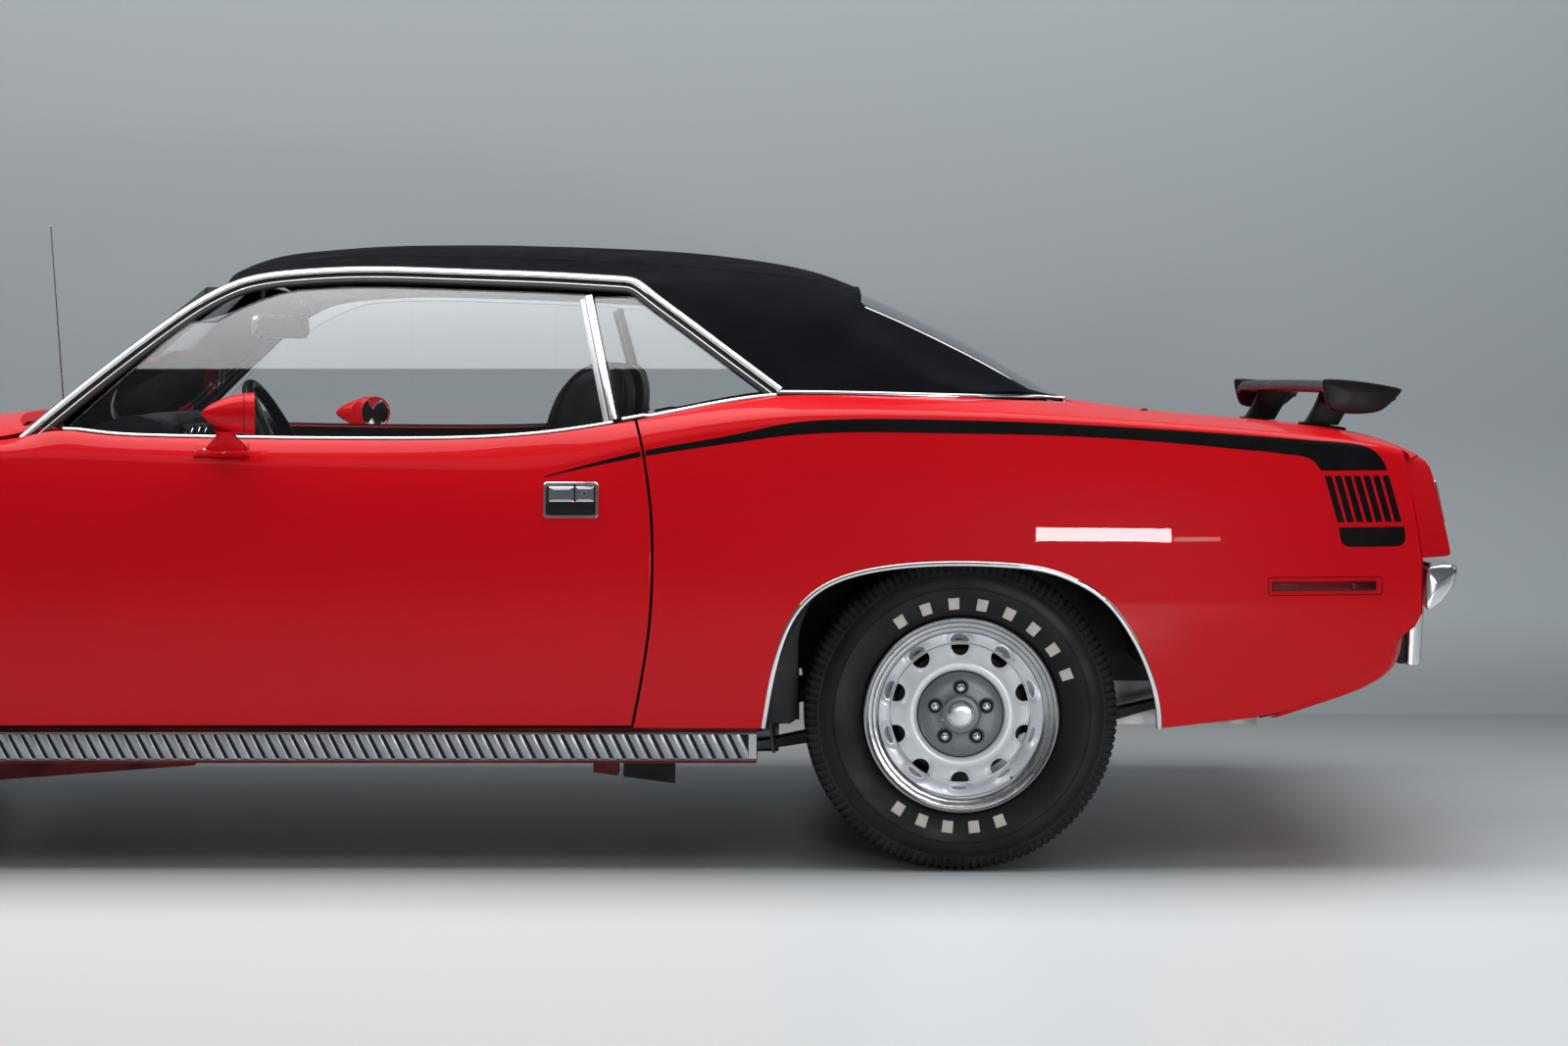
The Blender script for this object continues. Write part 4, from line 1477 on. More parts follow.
        def ring_at(prof, m, n=32):
            t = np.linspace(0, 2 * math.pi, n, endpoint=False)
            r = np.array([p[0] for p in prof], float)
            y = np.array([p[1] for p in prof], float)
            P = np.stack([c[0] + np.cos(t)[:, None] * r, np.broadcast_to(o + y, (n, len(r))), c[2] + np.sin(t)[:, None] * r], -1)
            M.grid(P, m, cu=True, out=(0, 1, 0))
        ring_at([(18.2, -37.0), (17.2, -35.4), (15.9, -34.9), (14.8, -35.6), (14.4, -36.4)], 2)
        ring_at([(14.5, -36.2), (0.01, -36.2)], 4)
        hx = [(10.6, -36.2), (10.6, -30.0), (9.6, -27.8)]
        ring_at(hx, 5, 6)
        ring_at([(9.4, -28.0), (8.8, -25.4), (7.2, -23.0), (4.6, -21.4), (2.0, -20.8), (0.01, -20.7)], 5, 24)
    # valve
    v = np.array([cx - 106.0, 0, HUB_Z - 132.0])
    M.tube([v + [0, o - 50, 0], v + [-1.5, o - 36, -2], v + [-3, o - 27, -4]], [4.6, 4.2, 3.6], 4, 10)
    # drum and hub behind
    turned(M, [(34, o - 71.5), (128, o - 71.5), (135, o - 73.5), (135.8, o - 80), (135.8, o - 129), (126, o - 129.5), (126, o - 82), (34, o - 82)], cx, 4, 96)
    turned(M, [(60, o - 62), (60, o - 70), (39, o - 71), (39, o - 109), (0.01, o - 109)], cx, 4, 48)
    return M


def make_wheels():
    for end, (cx, cy, w) in WHEELS.items():
        ty = tyre_mesh(cx, cy, w)
        wh = wheel_mesh(cx, cy, w)
        for side in ("left", "right"):
            a, b = (ty, wh) if side == "left" else (ty.mirror(), wh.mirror())
            nm = end + "_" + side
            a.obj(nm + "_tyre_skin", [M_RUBBER, M_TREAD, M_WHITE], nm + "_wheel", sharp=32, slot="tyre_rubber", replaces=nm + "_tyre")
            b.obj(nm + "_wheel_skin", [M_WHEEL, M_CHROME, M_HUB, M_CAP, M_FLATBLACK, M_NUT, M_RING], nm + "_wheel", sharp=40, slot="wheel_paint", replaces=nm + "_wheel")


make_wheels()


# ------------------------------------------------------------------ bright mouldings
def arch_lip(pts, name, side):
    P2 = curve(pts, 90)
    x, z = P2[:, 0], P2[:, 1]
    y = skin_y(x, z)
    T = unit(np.gradient(np.stack([x, z], -1), axis=0))
    cx = 0.5 * (x.min() + x.max())
    R = np.stack([-T[:, 1], T[:, 0]], -1)
    s = np.sign(((np.stack([x - cx, z - 300.0], -1)) * R).sum(-1))
    R = R * s[:, None]
    path = np.stack([x, y, z], -1)
    sideV = np.stack([R[:, 0], np.zeros(len(x)), R[:, 1]], -1)
    up = np.broadcast_to(np.array([0.0, 1.0, 0.0]), path.shape)
    sec = [(-1.6, -9), (-1.8, 0.5), (-0.8, 3.2), (1.8, 4.4), (5.6, 4.4), (8.4, 3.2), (9.4, 0.6), (9.2, -2.0), (3.0, -9)]
    M = Mesh()
    M.sweep(path, sec, sideV, up, 0)
    if side < 0:
        M = M.mirror()
    M.obj(name, [M_CHROME], "root", sharp=50, slot="bright_trim")


for sd, nm in ((1, "left"), (-1, "right")):
    arch_lip(REAR_ARCH, nm + "_rear_arch_lip", sd)
    arch_lip(FRONT_ARCH, nm + "_front_arch_lip", sd)


def sill_strip(side, name):
    M = Mesh()
    xs = np.array([985.0, 500.0, 0.0, -500.0, -872.0])
    path = np.stack([xs, np.zeros(5), np.zeros(5)], -1)
    sec = [(864, 237), (875, 237.5), (880, 243), (884, 262), (884.5, 288), (880, 296), (864, 296)]
    M.sweep(path, sec, (0, 1, 0), (0, 0, 1), 1)
    # top and bottom lips
    M.sweep(path, [(872, 292.4), (886, 291.8), (888.4, 294.2), (886, 296.6), (872, 296.6)], (0, 1, 0), (0, 0, 1), 0)
    M.sweep(path, [(870, 236.6), (880.5, 236.6), (882.6, 238.8), (880.5, 241.2), (870, 241.2)], (0, 1, 0), (0, 0, 1), 0)
    # slanted louvres
    n = int((985 + 872 - 22) / 27.1)
    for i in range(n + 1):
        x0 = -866.0 + 6.0 + 27.1 * i
        zz = np.linspace(240.5, 292.5, 7)
        u = (zz - 240.5) / 52.0
        xl = x0 + 24.0 * u
        yb = 880.5 + 6.0 * np.sin(np.clip(u, 0, 1) * math.pi * 0.62)
        # across: rear edge low, crest, front edge tucked in
        off = [(0.0, -4.0), (0.5, 1.0), (2.4, 2.4), (10.0, 2.7), (17.0, 2.3), (20.5, 0.8), (22.6, -3.5)]
        lim = lambda x: np.minimum(np.maximum(x, -871.0), 984.0)
        P = np.array([[(float(lim(xl[j] + a)), yb[j] + b, zz[j]) for a, b in off] for j in range(7)])
        M.grid(P, 0, out=(0, 1, 0))
    # plain end piece
    P = np.array([[(-871.5 + a * (4 + 0 * z), 881.0 + b, z) for a, b in ((0, 0), (0.4, 4.5), (4.5, 5.5))] for z in np.linspace(240.5, 292.5, 4)])
    M.grid(P, 0, out=(0, 1, 0))
    if side < 0:
        M = M.mirror()
    M.obj(name + "_sill_louvres", [M_ALU, M_FLATBLACK], "root", sharp=40, slot="ribbed_aluminium", replaces="sill_mouldings" if side > 0 else ())


both_sides(sill_strip)


# ------------------------------------------------------------------ glass
def slab_obj(O, I, out, name, body, rep, mat=None, slot="window_glass"):
    M = shell(Mesh(), O, I, out, 0, 0, r=1.0)
    return M.obj(name, [mat or M_GLASS], body, slot=slot, replaces=rep)


def door_glass_grid():
    U, W = np.meshgrid(uv(60, 0.004), uv(34, 0.006), indexing="ij")
    z = lerp(918.0, 1236.0, W)
    for _ in range(6):
        k = (z - 930.0) / 295.0
        x = lerp(lerp(598.0, 300.0, k), lerp(-566.0, -496.0, k), U)
        z = lerp(belt_z(x) + 1.6, ZD(np.minimum(x, 300.0)) - 32 - 26 * smooth((x - 120) / 180.0), W)
    return np.stack([x, gh_y(x, z), z], -1)


def quarter_glass_grid():
    U, W = np.meshgrid(uv(30, 0.006), uv(30, 0.006), indexing="ij")
    z = lerp(945.0, 1224.0, W)
    for _ in range(6):
        x = lerp(lerp(-584.0, -514.0, (z - 930.0) / 295.0), -906.0 + 311.0 * (z - 1014.0) / 232.0, U)
        z = lerp(ZB(x) + 1.0 + 6.0 * smooth((x + 645.0) / 15.0), 1220.0, W)
    return np.stack([x, gh_y(x, z), z], -1)


GD, GQ = door_glass_grid(), quarter_glass_grid()


def side_glass(side, name):
    f = (lambda P: P) if side > 0 else mirrored
    out = out_left if side > 0 else out_right
    slab_obj(f(GD), f(GD - [0, 5.0, 0]), out, name + "_door_pane", name + "_door", name + "_door_glass")
    slab_obj(f(GQ), f(GQ - [0, 5.0, 0]), out, name + "_quarter_pane", "root", "quarter_windows" if side > 0 else ())


both_sides(side_glass)


def ws_grid(nt=60, nz=34):
    T, K = np.meshgrid(np.r_[-1, -0.996, np.linspace(-1, 1, nt)[1:-1], 0.996, 1], uv(nz, 0.006), indexing="ij")
    z = lerp(893.0, 1266.0, K) - 22.0 * np.abs(T) ** 2.5 * K
    y = lerp(778.0, 566.0, (z - 900.0) / 350.0) * T
    return np.stack([ws_x(y, z), y, z], -1)


def back_grid(nt=60, nx=34):
    T, K = np.meshgrid(np.r_[-1, -0.996, np.linspace(-1, 1, nt)[1:-1], 0.996, 1], uv(nx, 0.006), indexing="ij")
    x = lerp(-1560.0, -1098.0, K)
    y = 583.0 * T
    return np.stack([x, y, roof_z(np.minimum(x, -1091.0), y) - 4.0], -1)


OW, OB = ws_grid(), back_grid()
slab_obj(OW, inward(OW, 6.0, lambda P: np.broadcast_to(np.array([1.0, 0, 0.7]), P.shape)), (1.0, 0, 0.7), "windshield_pane", "root", "windshield")
slab_obj(OB, inward(OB, 6.0, lambda P: np.broadcast_to(np.array([-0.6, 0, 1.0]), P.shape)), (-0.6, 0, 1.0), "rear_window_pane", "root", "rear_window")


# ------------------------------------------------------------------ mouldings round the side windows
def outline_strip(M, xz, sec, m, yoff=0.0, yfun=None, inside=None, caps=True):
    """Section (a, b): a in the window's plane, away from its inside point, b outward."""
    P2 = np.asarray(xz, float)
    T = unit(np.gradient(P2, axis=0))
    R = np.stack([-T[:, 1], T[:, 0]], -1)
    c = np.array(inside if inside is not None else (-100.0, 1080.0))
    s = np.sign(((P2 - c) * R).sum(-1).mean())
    R = R * s
    y = (yfun or gh_y)(P2[:, 0], P2[:, 1]) + yoff
    path = np.stack([P2[:, 0], y, P2[:, 1]], -1)
    # the y of the surface also follows the in-plane shift
    G = []
    for a, b in sec:
        q = P2 + R * a
        G.append(np.stack([q[:, 0], (yfun or gh_y)(q[:, 0], q[:, 1]) + yoff + b, q[:, 1]], -1))
    G = np.stack(G, 1)
    M.grid(G, m, cv=True, out=lambda Q: Q - path[:, None])
    if caps:
        M.fan(G[0], m, path[0] - path[1])
        M.fan(G[-1], m, path[-1] - path[-2])
    return M


def opening_line():
    a = [(676, 911), (640, 945), (560, 1018), (480, 1088), (400, 1155), (345, 1197), (312, 1218), (280, 1235)]
    x = np.linspace(245, -575, 40)
    top = [(q, float(ZD(q))) for q in x]
    c = [(-600, 1247.0), (-612, 1240.0), (-640, 1218.5), (-700, 1173.7), (-800, 1099.0), (-880, 1039.4), (-916, 1012.5)]
    return curve(a + top + c, 220)


LINE = opening_line()


def side_trim(side, name):
    f = (lambda m: m) if side > 0 else (lambda m: m.mirror())
    M = Mesh()
    outline_strip(M, LINE, [(-0.5, -6), (-0.6, 5.5), (1.5, 9.0), (6, 11.0), (11, 9.6), (14.0, 6.0), (14.4, -6)], 0)
    outline_strip(M, LINE, [(-8.4, -8), (-8.4, 1.0), (-0.4, 1.0), (-0.4, -8)], 1)
    outline_strip(M, LINE[3:], [(-11.6, -8), (-11.6, 2.2), (-10.4, 3.6), (-9.0, 3.2), (-8.4, 1.5), (-8.4, -8)], 0)
    outline_strip(M, LINE[3:], [(-24, -8), (-23.5, -2.0), (-19, 2.6), (-12, 2.4), (-11.4, -8)], 1)
    f(M).obj(name + "_drip_rail", [M_STAINLESS, M_SEAL], "root", sharp=48, slot="bright_trim")
    # bright strip at the quarter window's front edge, and belt strips
    M = Mesh()
    z = np.linspace(955, 1222, 12)
    xz = np.stack([lerp(-567.5, -503.5, (z - 951) / 270.0), z], -1)
    outline_strip(M, xz, [(-8, -8), (-8, 3.5), (-6.5, 5.5), (6.5, 5.5), (8, 3.5), (8, -8)], 0, inside=(400, 1080))
    xq = np.linspace(-585, -912, 30)
    outline_strip(M, np.stack([xq, ZB(xq) + 3.0 + 4.0 * smooth((xq + 645.0) / 15.0)], -1), [(-3.5, -6), (-3.5, 4), (0, 5.6), (3.0, 4.4), (3.2, -6)], 0, inside=(-750, 1200))
    f(M).obj(name + "_quarter_window_trim", [M_STAINLESS, M_SEAL], "root", sharp=48, slot="bright_trim")
    M = Mesh()
    z = np.linspace(948, 1214, 12)
    xz = np.stack([lerp(-551.5, -488.5, (z - 951) / 270.0), z], -1)
    outline_strip(M, xz, [(-5.5, -7), (-5.5, 2.0), (-4, 3.2), (3.5, 3.2), (5.5, 2.0), (5.5, -7)], 1, inside=(400, 1080))
    xd = np.linspace(596, -566, 70)
    outline_strip(M, np.stack([xd, belt_z(xd) + 3.6], -1), [(-3.8, -4), (-3.8, 5.4), (-2.4, 7.4), (1.4, 7.0), (3.4, 4.4), (3.6, -4)], 0, inside=(0, 1200))
    f(M).obj(name + "_door_window_trim", [M_STAINLESS, M_ALU], name + "_door", sharp=48, slot="bright_trim")


both_sides(side_trim)


def fixed_trim():
    M = Mesh()
    # base of the vinyl, left and right, running to a point behind the rear window's corner
    for s in (1, -1):
        Q = Mesh()
        u = np.linspace(0, 1.0, 60)
        x = lerp(-914.0, -1541.0, u)
        z = lerp(1010.0, 999.0, smooth(u))
        w = smooth((u - 0.62) / 0.38)
        y = gh_y(x, z)
        y = lerp(y, np.minimum(y, 622.0), w) + 2.0
        taper = 1 - 0.6 * smooth((u - 0.9) / 0.1)
        sec = [(-3, -8), (-4.5, 1.5), (-2, 4.2), (2.5, 4.6), (6.0, 2.6), (7.0, -1.0), (6.5, -8)]
        G = np.stack([np.stack([x, y + b * taper, z + a * taper], -1) for a, b in sec], 1)
        Q.grid(G, 0, cv=True, out=lambda P: P - G.mean(1, keepdims=True))
        Q.fan(G[0], 0, (1, 0, 0))
        Q.fan(G[-1], 0, (-1, 0, 0))
        # rear window: side reveal
        v = np.linspace(0.02, 1.0, 50)
        x = REAR_EDGE(v)
        z = roof_z(np.minimum(x, -1090.5), 620.0)
        G = np.stack([x, np.full(50, 604.0), z - 1.0], -1)
        Q.tube(G, 3.6, 0, 8)
        # windshield: side reveal
        zz = np.linspace(905, 1236, 40)
        yy = lerp(778.0, 566.0, (zz - 900.0) / 350.0) + 1.0
        Q.tube(np.stack([ws_x(yy, zz) + 5.0, yy + 2.0, zz], -1), 4.2, 0, 8)
        if s < 0:
            Q = Q.mirror()
        for V, N in zip(Q.V, Q.N):
            M.V.append(V)
            M.N.append(N)
        M.F += [tuple(i + M.c for i in fc) for fc in Q.F]
        M.M += Q.M
        M.c += Q.c
    t = np.linspace(-1, 1, 60)
    z = 1266.0 - 22.0 * np.abs(t) ** 2.5 - 2
    y = 570.0 * t
    M.tube(np.stack([ws_x(y, z) + 4.0, y, z + 2.0], -1), 4.0, 0, 8)
    y = 600.0 * t
    M.tube(np.stack([np.full(60, -1098.0), 583 * t, roof_z(-1098.0, 583 * t) + 1.5], -1), 3.6, 0, 8)
    M.tube(np.stack([np.full(60, -1560.0), 583 * t, roof_z(-1560.0, 583 * t) + 2.0], -1), 3.8, 0, 8)
    M.obj("window_reveals", [M_STAINLESS], "root", sharp=50, slot="bright_trim")


fixed_trim()


# ------------------------------------------------------------------ door mirrors
def door_mirror(side, name):
    M = Mesh()
    c = (0.0, 962.0, 969.0)
    P = curve([(0.01, 278), (5, 276.6), (11, 271), (20, 258), (29, 240), (36, 221), (40.5, 203), (42.6, 188), (43.2, 174)], 34)
    M.lathe([(float(r), float(x)) for r, x in P] + [(43.6, 173.2), (43.4, 171.6), (41.8, 171.2), (40.4, 172.8)], c, "x", 56, 0, flip=False)
    M.lathe([(42.9, 193.6), (43.5, 192.8), (42.8, 192.0)], c, "x", 56, 2)
    M.lathe([(40.6, 172.6), (40.2, 174.2), (39.6, 174.8), (0.01, 174.8)], c, "x", 48, 1)
    # the head's glass end is turned towards the driver, more on the far side, where the head also sits lower
    drop = 0.0 if side > 0 else 20.0
    for k in range(len(M.V)):
        V, W = M.V[k].copy(), M.N[k].copy()
        s = smooth(np.clip((242.0 - V[:, 0]) / 64.0, 0, 1))
        a = np.radians(10.0 + 0 * s if side > 0 else 12.0 + 44.0 * s)
        c0, s0 = np.cos(a), np.sin(a)
        y = V[:, 1] - 962.0
        M.V[k] = np.stack([V[:, 0] - s0 * y, 962.0 + c0 * y, V[:, 2] - drop], -1)
        M.N[k] = np.stack([c0 * W[:, 0] - s0 * W[:, 1], s0 * W[:, 0] + c0 * W[:, 1], W[:, 2]], -1)
        if side > 0:
            M.V[k][:, 1] += (V[:, 0] - 222.0) * math.sin(math.radians(10.0))
    # foot: from the base plate up to the head
    n = 14
    secs = []
    for k in np.linspace(0, 1, n):
        hx = lerp(44.0, 21.0, smooth(k * 1.3)) + 6 * (k > 0.9) * (k - 0.9) * 10
        cxx = lerp(236.0, 231.0, k)
        yy = lerp(914.0, 958.0, k ** 0.9)
        zz = lerp(893.0, 936.0 - drop, k)
        wy = lerp(8.0, 9.5, k)
        a = np.linspace(0, 2 * math.pi, 28, endpoint=False)
        e = np.stack([cxx + hx * np.sign(np.cos(a)) * np.abs(np.cos(a)) ** 0.75, yy + wy * np.sin(a) * 0.8, zz - wy * 0.45 * np.sin(a)], -1)
        secs.append(e)
    G = np.stack(secs)
    M.grid(G, 0, cv=True, out=lambda Q: Q - G.mean(1, keepdims=True))

    # base plate and its gasket, bent to the door's shoulder
    def plate(x0, x1, z0, z1, t0, t1, m):
        n1, n2 = 22, 10
        X, Z = np.meshgrid(np.linspace(x0, x1, n1), np.linspace(z0, z1, n2), indexing="ij")
        k = (Z - z0) / (z1 - z0)
        X = X + np.where(X > 0.5 * (x0 + x1), -1, 1) * 6.0 * k ** 2 * (np.abs(X - 0.5 * (x0 + x1)) / (0.5 * (x1 - x0)))
        Yb = skin_y(X, Z) + t0
        B = np.stack([X, Yb, Z + 0.3 * t0], -1)
        T = B + np.array([0, t1, 0.6 * t1])
        edge = np.minimum(np.minimum((X - X.min()) / 4.0, (X.max() - X) / 4.0), np.minimum((Z - z0) / 4.0, (z1 - Z) / 4.0))
        T = T - np.array([0, 1.6, 0.9]) * (1 - smooth(edge))[..., None]
        M.grid(T, m, out=(0, 1, 0.5))
        ringi = [(i, 0) for i in range(n1)] + [(n1 - 1, j) for j in range(1, n2)] + [(i, n2 - 1) for i in range(n1 - 2, -1, -1)] + [(0, j) for j in range(n2 - 2, 0, -1)]
        A = np.array([T[i, j] for i, j in ringi])
        Bq = np.array([B[i, j] for i, j in ringi])
        cc = A.mean(0)
        M.grid(np.stack([A, Bq], 1), m, cu=True, out=lambda Q: (Q - cc) * [1, 0.2, 1])
    plate(192.0, 309.0, 876.0, 905.0, -0.5, 2.6, 2)
    plate(193.5, 307.5, 877.6, 903.8, 1.6, 5.2, 0)
    for x, z in ((286, 888), (206, 888), (246, 884)):
        y = float(skin_y(x, z)) + 6.2
        M.ball((x, y, z + 2.5), (4.2, 2.2, 4.2), 3, 12, 8)
    if side < 0:
        M = M.mirror()
    M.obj(name + "_mirror_skin", [M_PAINT, M_MIRROR, M_SEAL, M_CHROME], name + "_door", sharp=42, slot="body_paint", replaces=name + "_mirror")


both_sides(door_mirror)


# ------------------------------------------------------------------ things set on the sides
def rrect(x0, x1, z0, z1, r, n=6):
    out = []
    for cx, cz, a0 in ((x1 - r, z1 - r, 0), (x0 + r, z1 - r, 90), (x0 + r, z0 + r, 180), (x1 - r, z0 + r, 270)):
        for a in np.linspace(a0, a0 + 90, n):
            out.append((cx + r * math.cos(math.radians(a)), cz + r * math.sin(math.radians(a))))
    return np.array(out)


def on_side(M, ring, y_off, m):
    """Flat piece inside a ring of (x, z) laid y_off above the side."""
    P = np.stack([ring[:, 0], skin_y(ring[:, 0], ring[:, 1]) + y_off, ring[:, 1]], -1)
    M.fan(P, m, (0, 1, 0))
    return P


def band(M, r0, o0, r1, o1, m):
    a = np.stack([r0[:, 0], skin_y(r0[:, 0], r0[:, 1]) + o0, r0[:, 1]], -1)
    b = np.stack([r1[:, 0], skin_y(r1[:, 0], r1[:, 1]) + o1, r1[:, 1]], -1)
    M.grid(np.stack([a, b], 1), m, cu=True, out=(0, 1, 0) if abs(o0 - o1) < 3 else (lambda Q: (Q - a.mean(0)) * [1, 0.3, 1]))


def raised(M, x0, x1, z0, z1, r, base, top, m, bev=1.6):
    A = rrect(x0, x1, z0, z1, r)
    B = rrect(x0 + 0.2 * bev, x1 - 0.2 * bev, z0 + 0.2 * bev, z1 - 0.2 * bev, r)
    C = rrect(x0 + bev, x1 - bev, z0 + bev, z1 - bev, max(r - bev, 0.5))
    band(M, A, base, A, top - bev, m)
    band(M, A, top - bev, B, top - 0.4 * bev, m)
    band(M, B, top - 0.4 * bev, C, top, m)
    on_side(M, C, top, m)


def door_handle(side, name):
    M = Mesh()
    o = rrect(-541, -425, 751, 826, 9)
    o2 = rrect(-539.6, -426.4, 752.4, 824.6, 8.5)
    i2 = rrect(-535, -431, 757, 820, 6)
    i = rrect(-533, -433, 759, 818, 5)
    band(M, o, -0.5, o, 2.2, 0)
    band(M, o, 2.2, o2, 4.0, 0)
    band(M, o2, 4.0, i2, 4.2, 0)
    band(M, i2, 4.2, i, 1.2, 0)
    on_side(M, i, 0.7, 1)
    raised(M, -490, -436.5, 785, 816.5, 2.5, 0.5, 5.4, 0)
    raised(M, -531.5, -492.5, 785, 816.5, 2.5, 0.5, 4.8, 0)
    # grip lip below the flap and the lock
    raised(M, -530, -438, 761, 771, 2.0, 0.5, 1.7, 1, 0.5)
    y = float(skin_y(-511, 802)) + 4.8
    t = np.linspace(0, 2 * math.pi, 24, endpoint=False)
    for r, d, m in ((7.2, 0.0, 2), (6.2, 1.2, 2), (2.0, 1.3, 1)):
        P = np.stack([-511 + r * np.cos(t), np.full(24, y + d), 802 + r * np.sin(t)], -1)
        M.fan(P, m, (0, 1, 0))
        if r > 3:
            M.grid(np.stack([P, P - [0, 1.4, 0]], 1), m, cu=True, out=lambda Q: (Q - [-511, y, 802]) * [1, 0, 1])
    M.block(-511.8, -510.2, y + 1.2, y + 1.9, 799, 805, 1, 0.2)
    if side < 0:
        M = M.mirror()
    M.obj(name + "_door_handle", [M_CHROME, M_FLATBLACK, M_STAINLESS], name + "_door", sharp=35, slot="bright_trim")


both_sides(door_handle)


def fine(r, k=18):
    """The same outline with its long edges cut up, so that it can follow the body."""
    out = []
    for p, q in zip(r, np.roll(r, -1, 0)):
        n = k if np.hypot(*(q - p)) > 18.0 else 1
        out += [p + (q - p) * j / n for j in range(n)]
    return np.array(out)


def marker(side, name):
    M = Mesh()
    o, i = fine(rrect(-2186, -1940, 588, 627, 6)), fine(rrect(-2184.6, -1941.4, 589.4, 625.6, 5))
    band(M, o, 0.1, o, 0.7, 1)
    band(M, o, 0.7, i, 0.7, 1)
    raised(M, -2172, -1948, 597, 617, 2.0, 0.8, 4.4, 0, 1.4)
    raised(M, -2170, -2118, 599, 615, 1.5, 3.6, 4.9, 2, 0.5)
    if side < 0:
        M = M.mirror()
    M.obj(name + "_rear_marker", [M_LAMPDK, M_GROOVE, M_LAMPEND, M_PAINT], "root", sharp=35, slot="lamp_red")
    M = Mesh()
    band(M, rrect(2046, 2198, 596, 629, 3), 0.3, rrect(2046, 2198, 596, 629, 3), 1.6, 1)
    band(M, rrect(2046, 2198, 596, 629, 3), 1.6, rrect(2049, 2195, 599, 626, 2.4), 1.8, 1)
    raised(M, 2050, 2194, 600, 625, 2.0, 0.4, 4.4, 0, 1.4)
    if side < 0:
        M = M.mirror()
    M.obj(name + "_front_marker", [M_LAMPA, M_CHROME], "root", sharp=35, slot="bright_trim")


both_sides(marker)

# ------------------------------------------------------------------ small builders
def soft_ring(P, w=0.22, it=2):
    """Closed outline with its corners cut back."""
    P = np.asarray(P, float)
    for _ in range(it):
        A, B = P + (np.roll(P, -1, 0) - P) * w, P + (np.roll(P, 1, 0) - P) * w
        P = np.stack([B, A], 1).reshape(-1, P.shape[1])
    return P


def dense(P, n):
    """Closed outline, n even steps."""
    Q = np.vstack([P, P[:1]])
    return poly(Q, n + 1)[:-1]


def inset(R, b):
    """Closed 2-D outline moved in by b."""
    T = unit(np.roll(R, -1, 0) - np.roll(R, 1, 0))
    N = np.stack([T[:, 1], -T[:, 0]], -1)
    x, y = R[:, 0], R[:, 1]
    if (x * np.roll(y, -1) - np.roll(x, -1) * y).sum() < 0:
        N = -N
    return R - N * b


AX = {"x": (1, 2, 0), "y": (0, 2, 1), "z": (0, 1, 2)}


def plate(M, ring, axis, a0, a1, m=0, b=2.0, f=None, back=True):
    """Outline (in the two axes across `axis`) from a0 to a1, its rims rounded by b; f bends the points."""
    R = np.asarray(ring, float)
    p, q, r = AX[axis]
    lo, hi = min(a0, a1), max(a0, a1)
    b = min(b, 0.45 * (hi - lo))
    lev = [(lo, b), (lo + 0.3 * b, 0.3 * b), (lo + b, 0), (hi - b, 0), (hi - 0.3 * b, 0.3 * b), (hi, b)]
    G = np.zeros((len(lev), len(R), 3))
    for i, (a, k) in enumerate(lev):
        S = inset(R, k) if k else R
        G[i, :, p], G[i, :, q], G[i, :, r] = S[:, 0], S[:, 1], a
    c = G.mean((0, 1))
    d = np.zeros(3)
    d[r] = 1.0
    k = 1.0 - d
    c0 = c.copy()
    if f is not None:
        raw = G.copy()
        G = f(G.reshape(-1, 3)).reshape(G.shape)
        out = (raw - c0) * k
        M.grid(G, m, cv=True, out=lambda Q: out)
    else:
        M.grid(G, m, cv=True, out=lambda Q: (Q - c0) * k)
    M.fan(G[-1], m, d)
    M.fan(G[0], m, -d)
    return M


def across(M, prof, half, bow, wrap=0.0, start=0.9, m=0, n=110, s=1.0, tip=0.02, round_=0.75):
    """Section (x, z) run across the car, bowed, wrapped at its ends and rounded off there."""
    P = np.asarray(prof, float)
    t = np.unique(np.r_[np.linspace(-1, -1 + tip, 9), np.linspace(-1 + tip, 1 - tip, n), np.linspace(1 - tip, 1, 9)])
    zc = P[:, 1].mean()
    xc = P[:, 0].mean()
    G = []
    for q in t:
        a = abs(q)
        sh = bow * a * a + wrap * (max(0.0, a - start) / (1 - start)) ** 2
        e = max(0.0, (a - (1 - tip)) / tip)
        k = lerp(round_, 1.0, math.sqrt(max(0.0, 1 - e * e)))
        G.append(np.stack([xc + (P[:, 0] - xc) * k - s * sh, np.full(len(P), half * q), zc + (P[:, 1] - zc) * k], -1))
    G = np.array(G)
    M.grid(G, m, cv=True, out=lambda Q: Q - Q.mean(1, keepdims=True))
    M.fan(G[0], m, (0, -1, 0))
    M.fan(G[-1], m, (0, 1, 0))
    return M


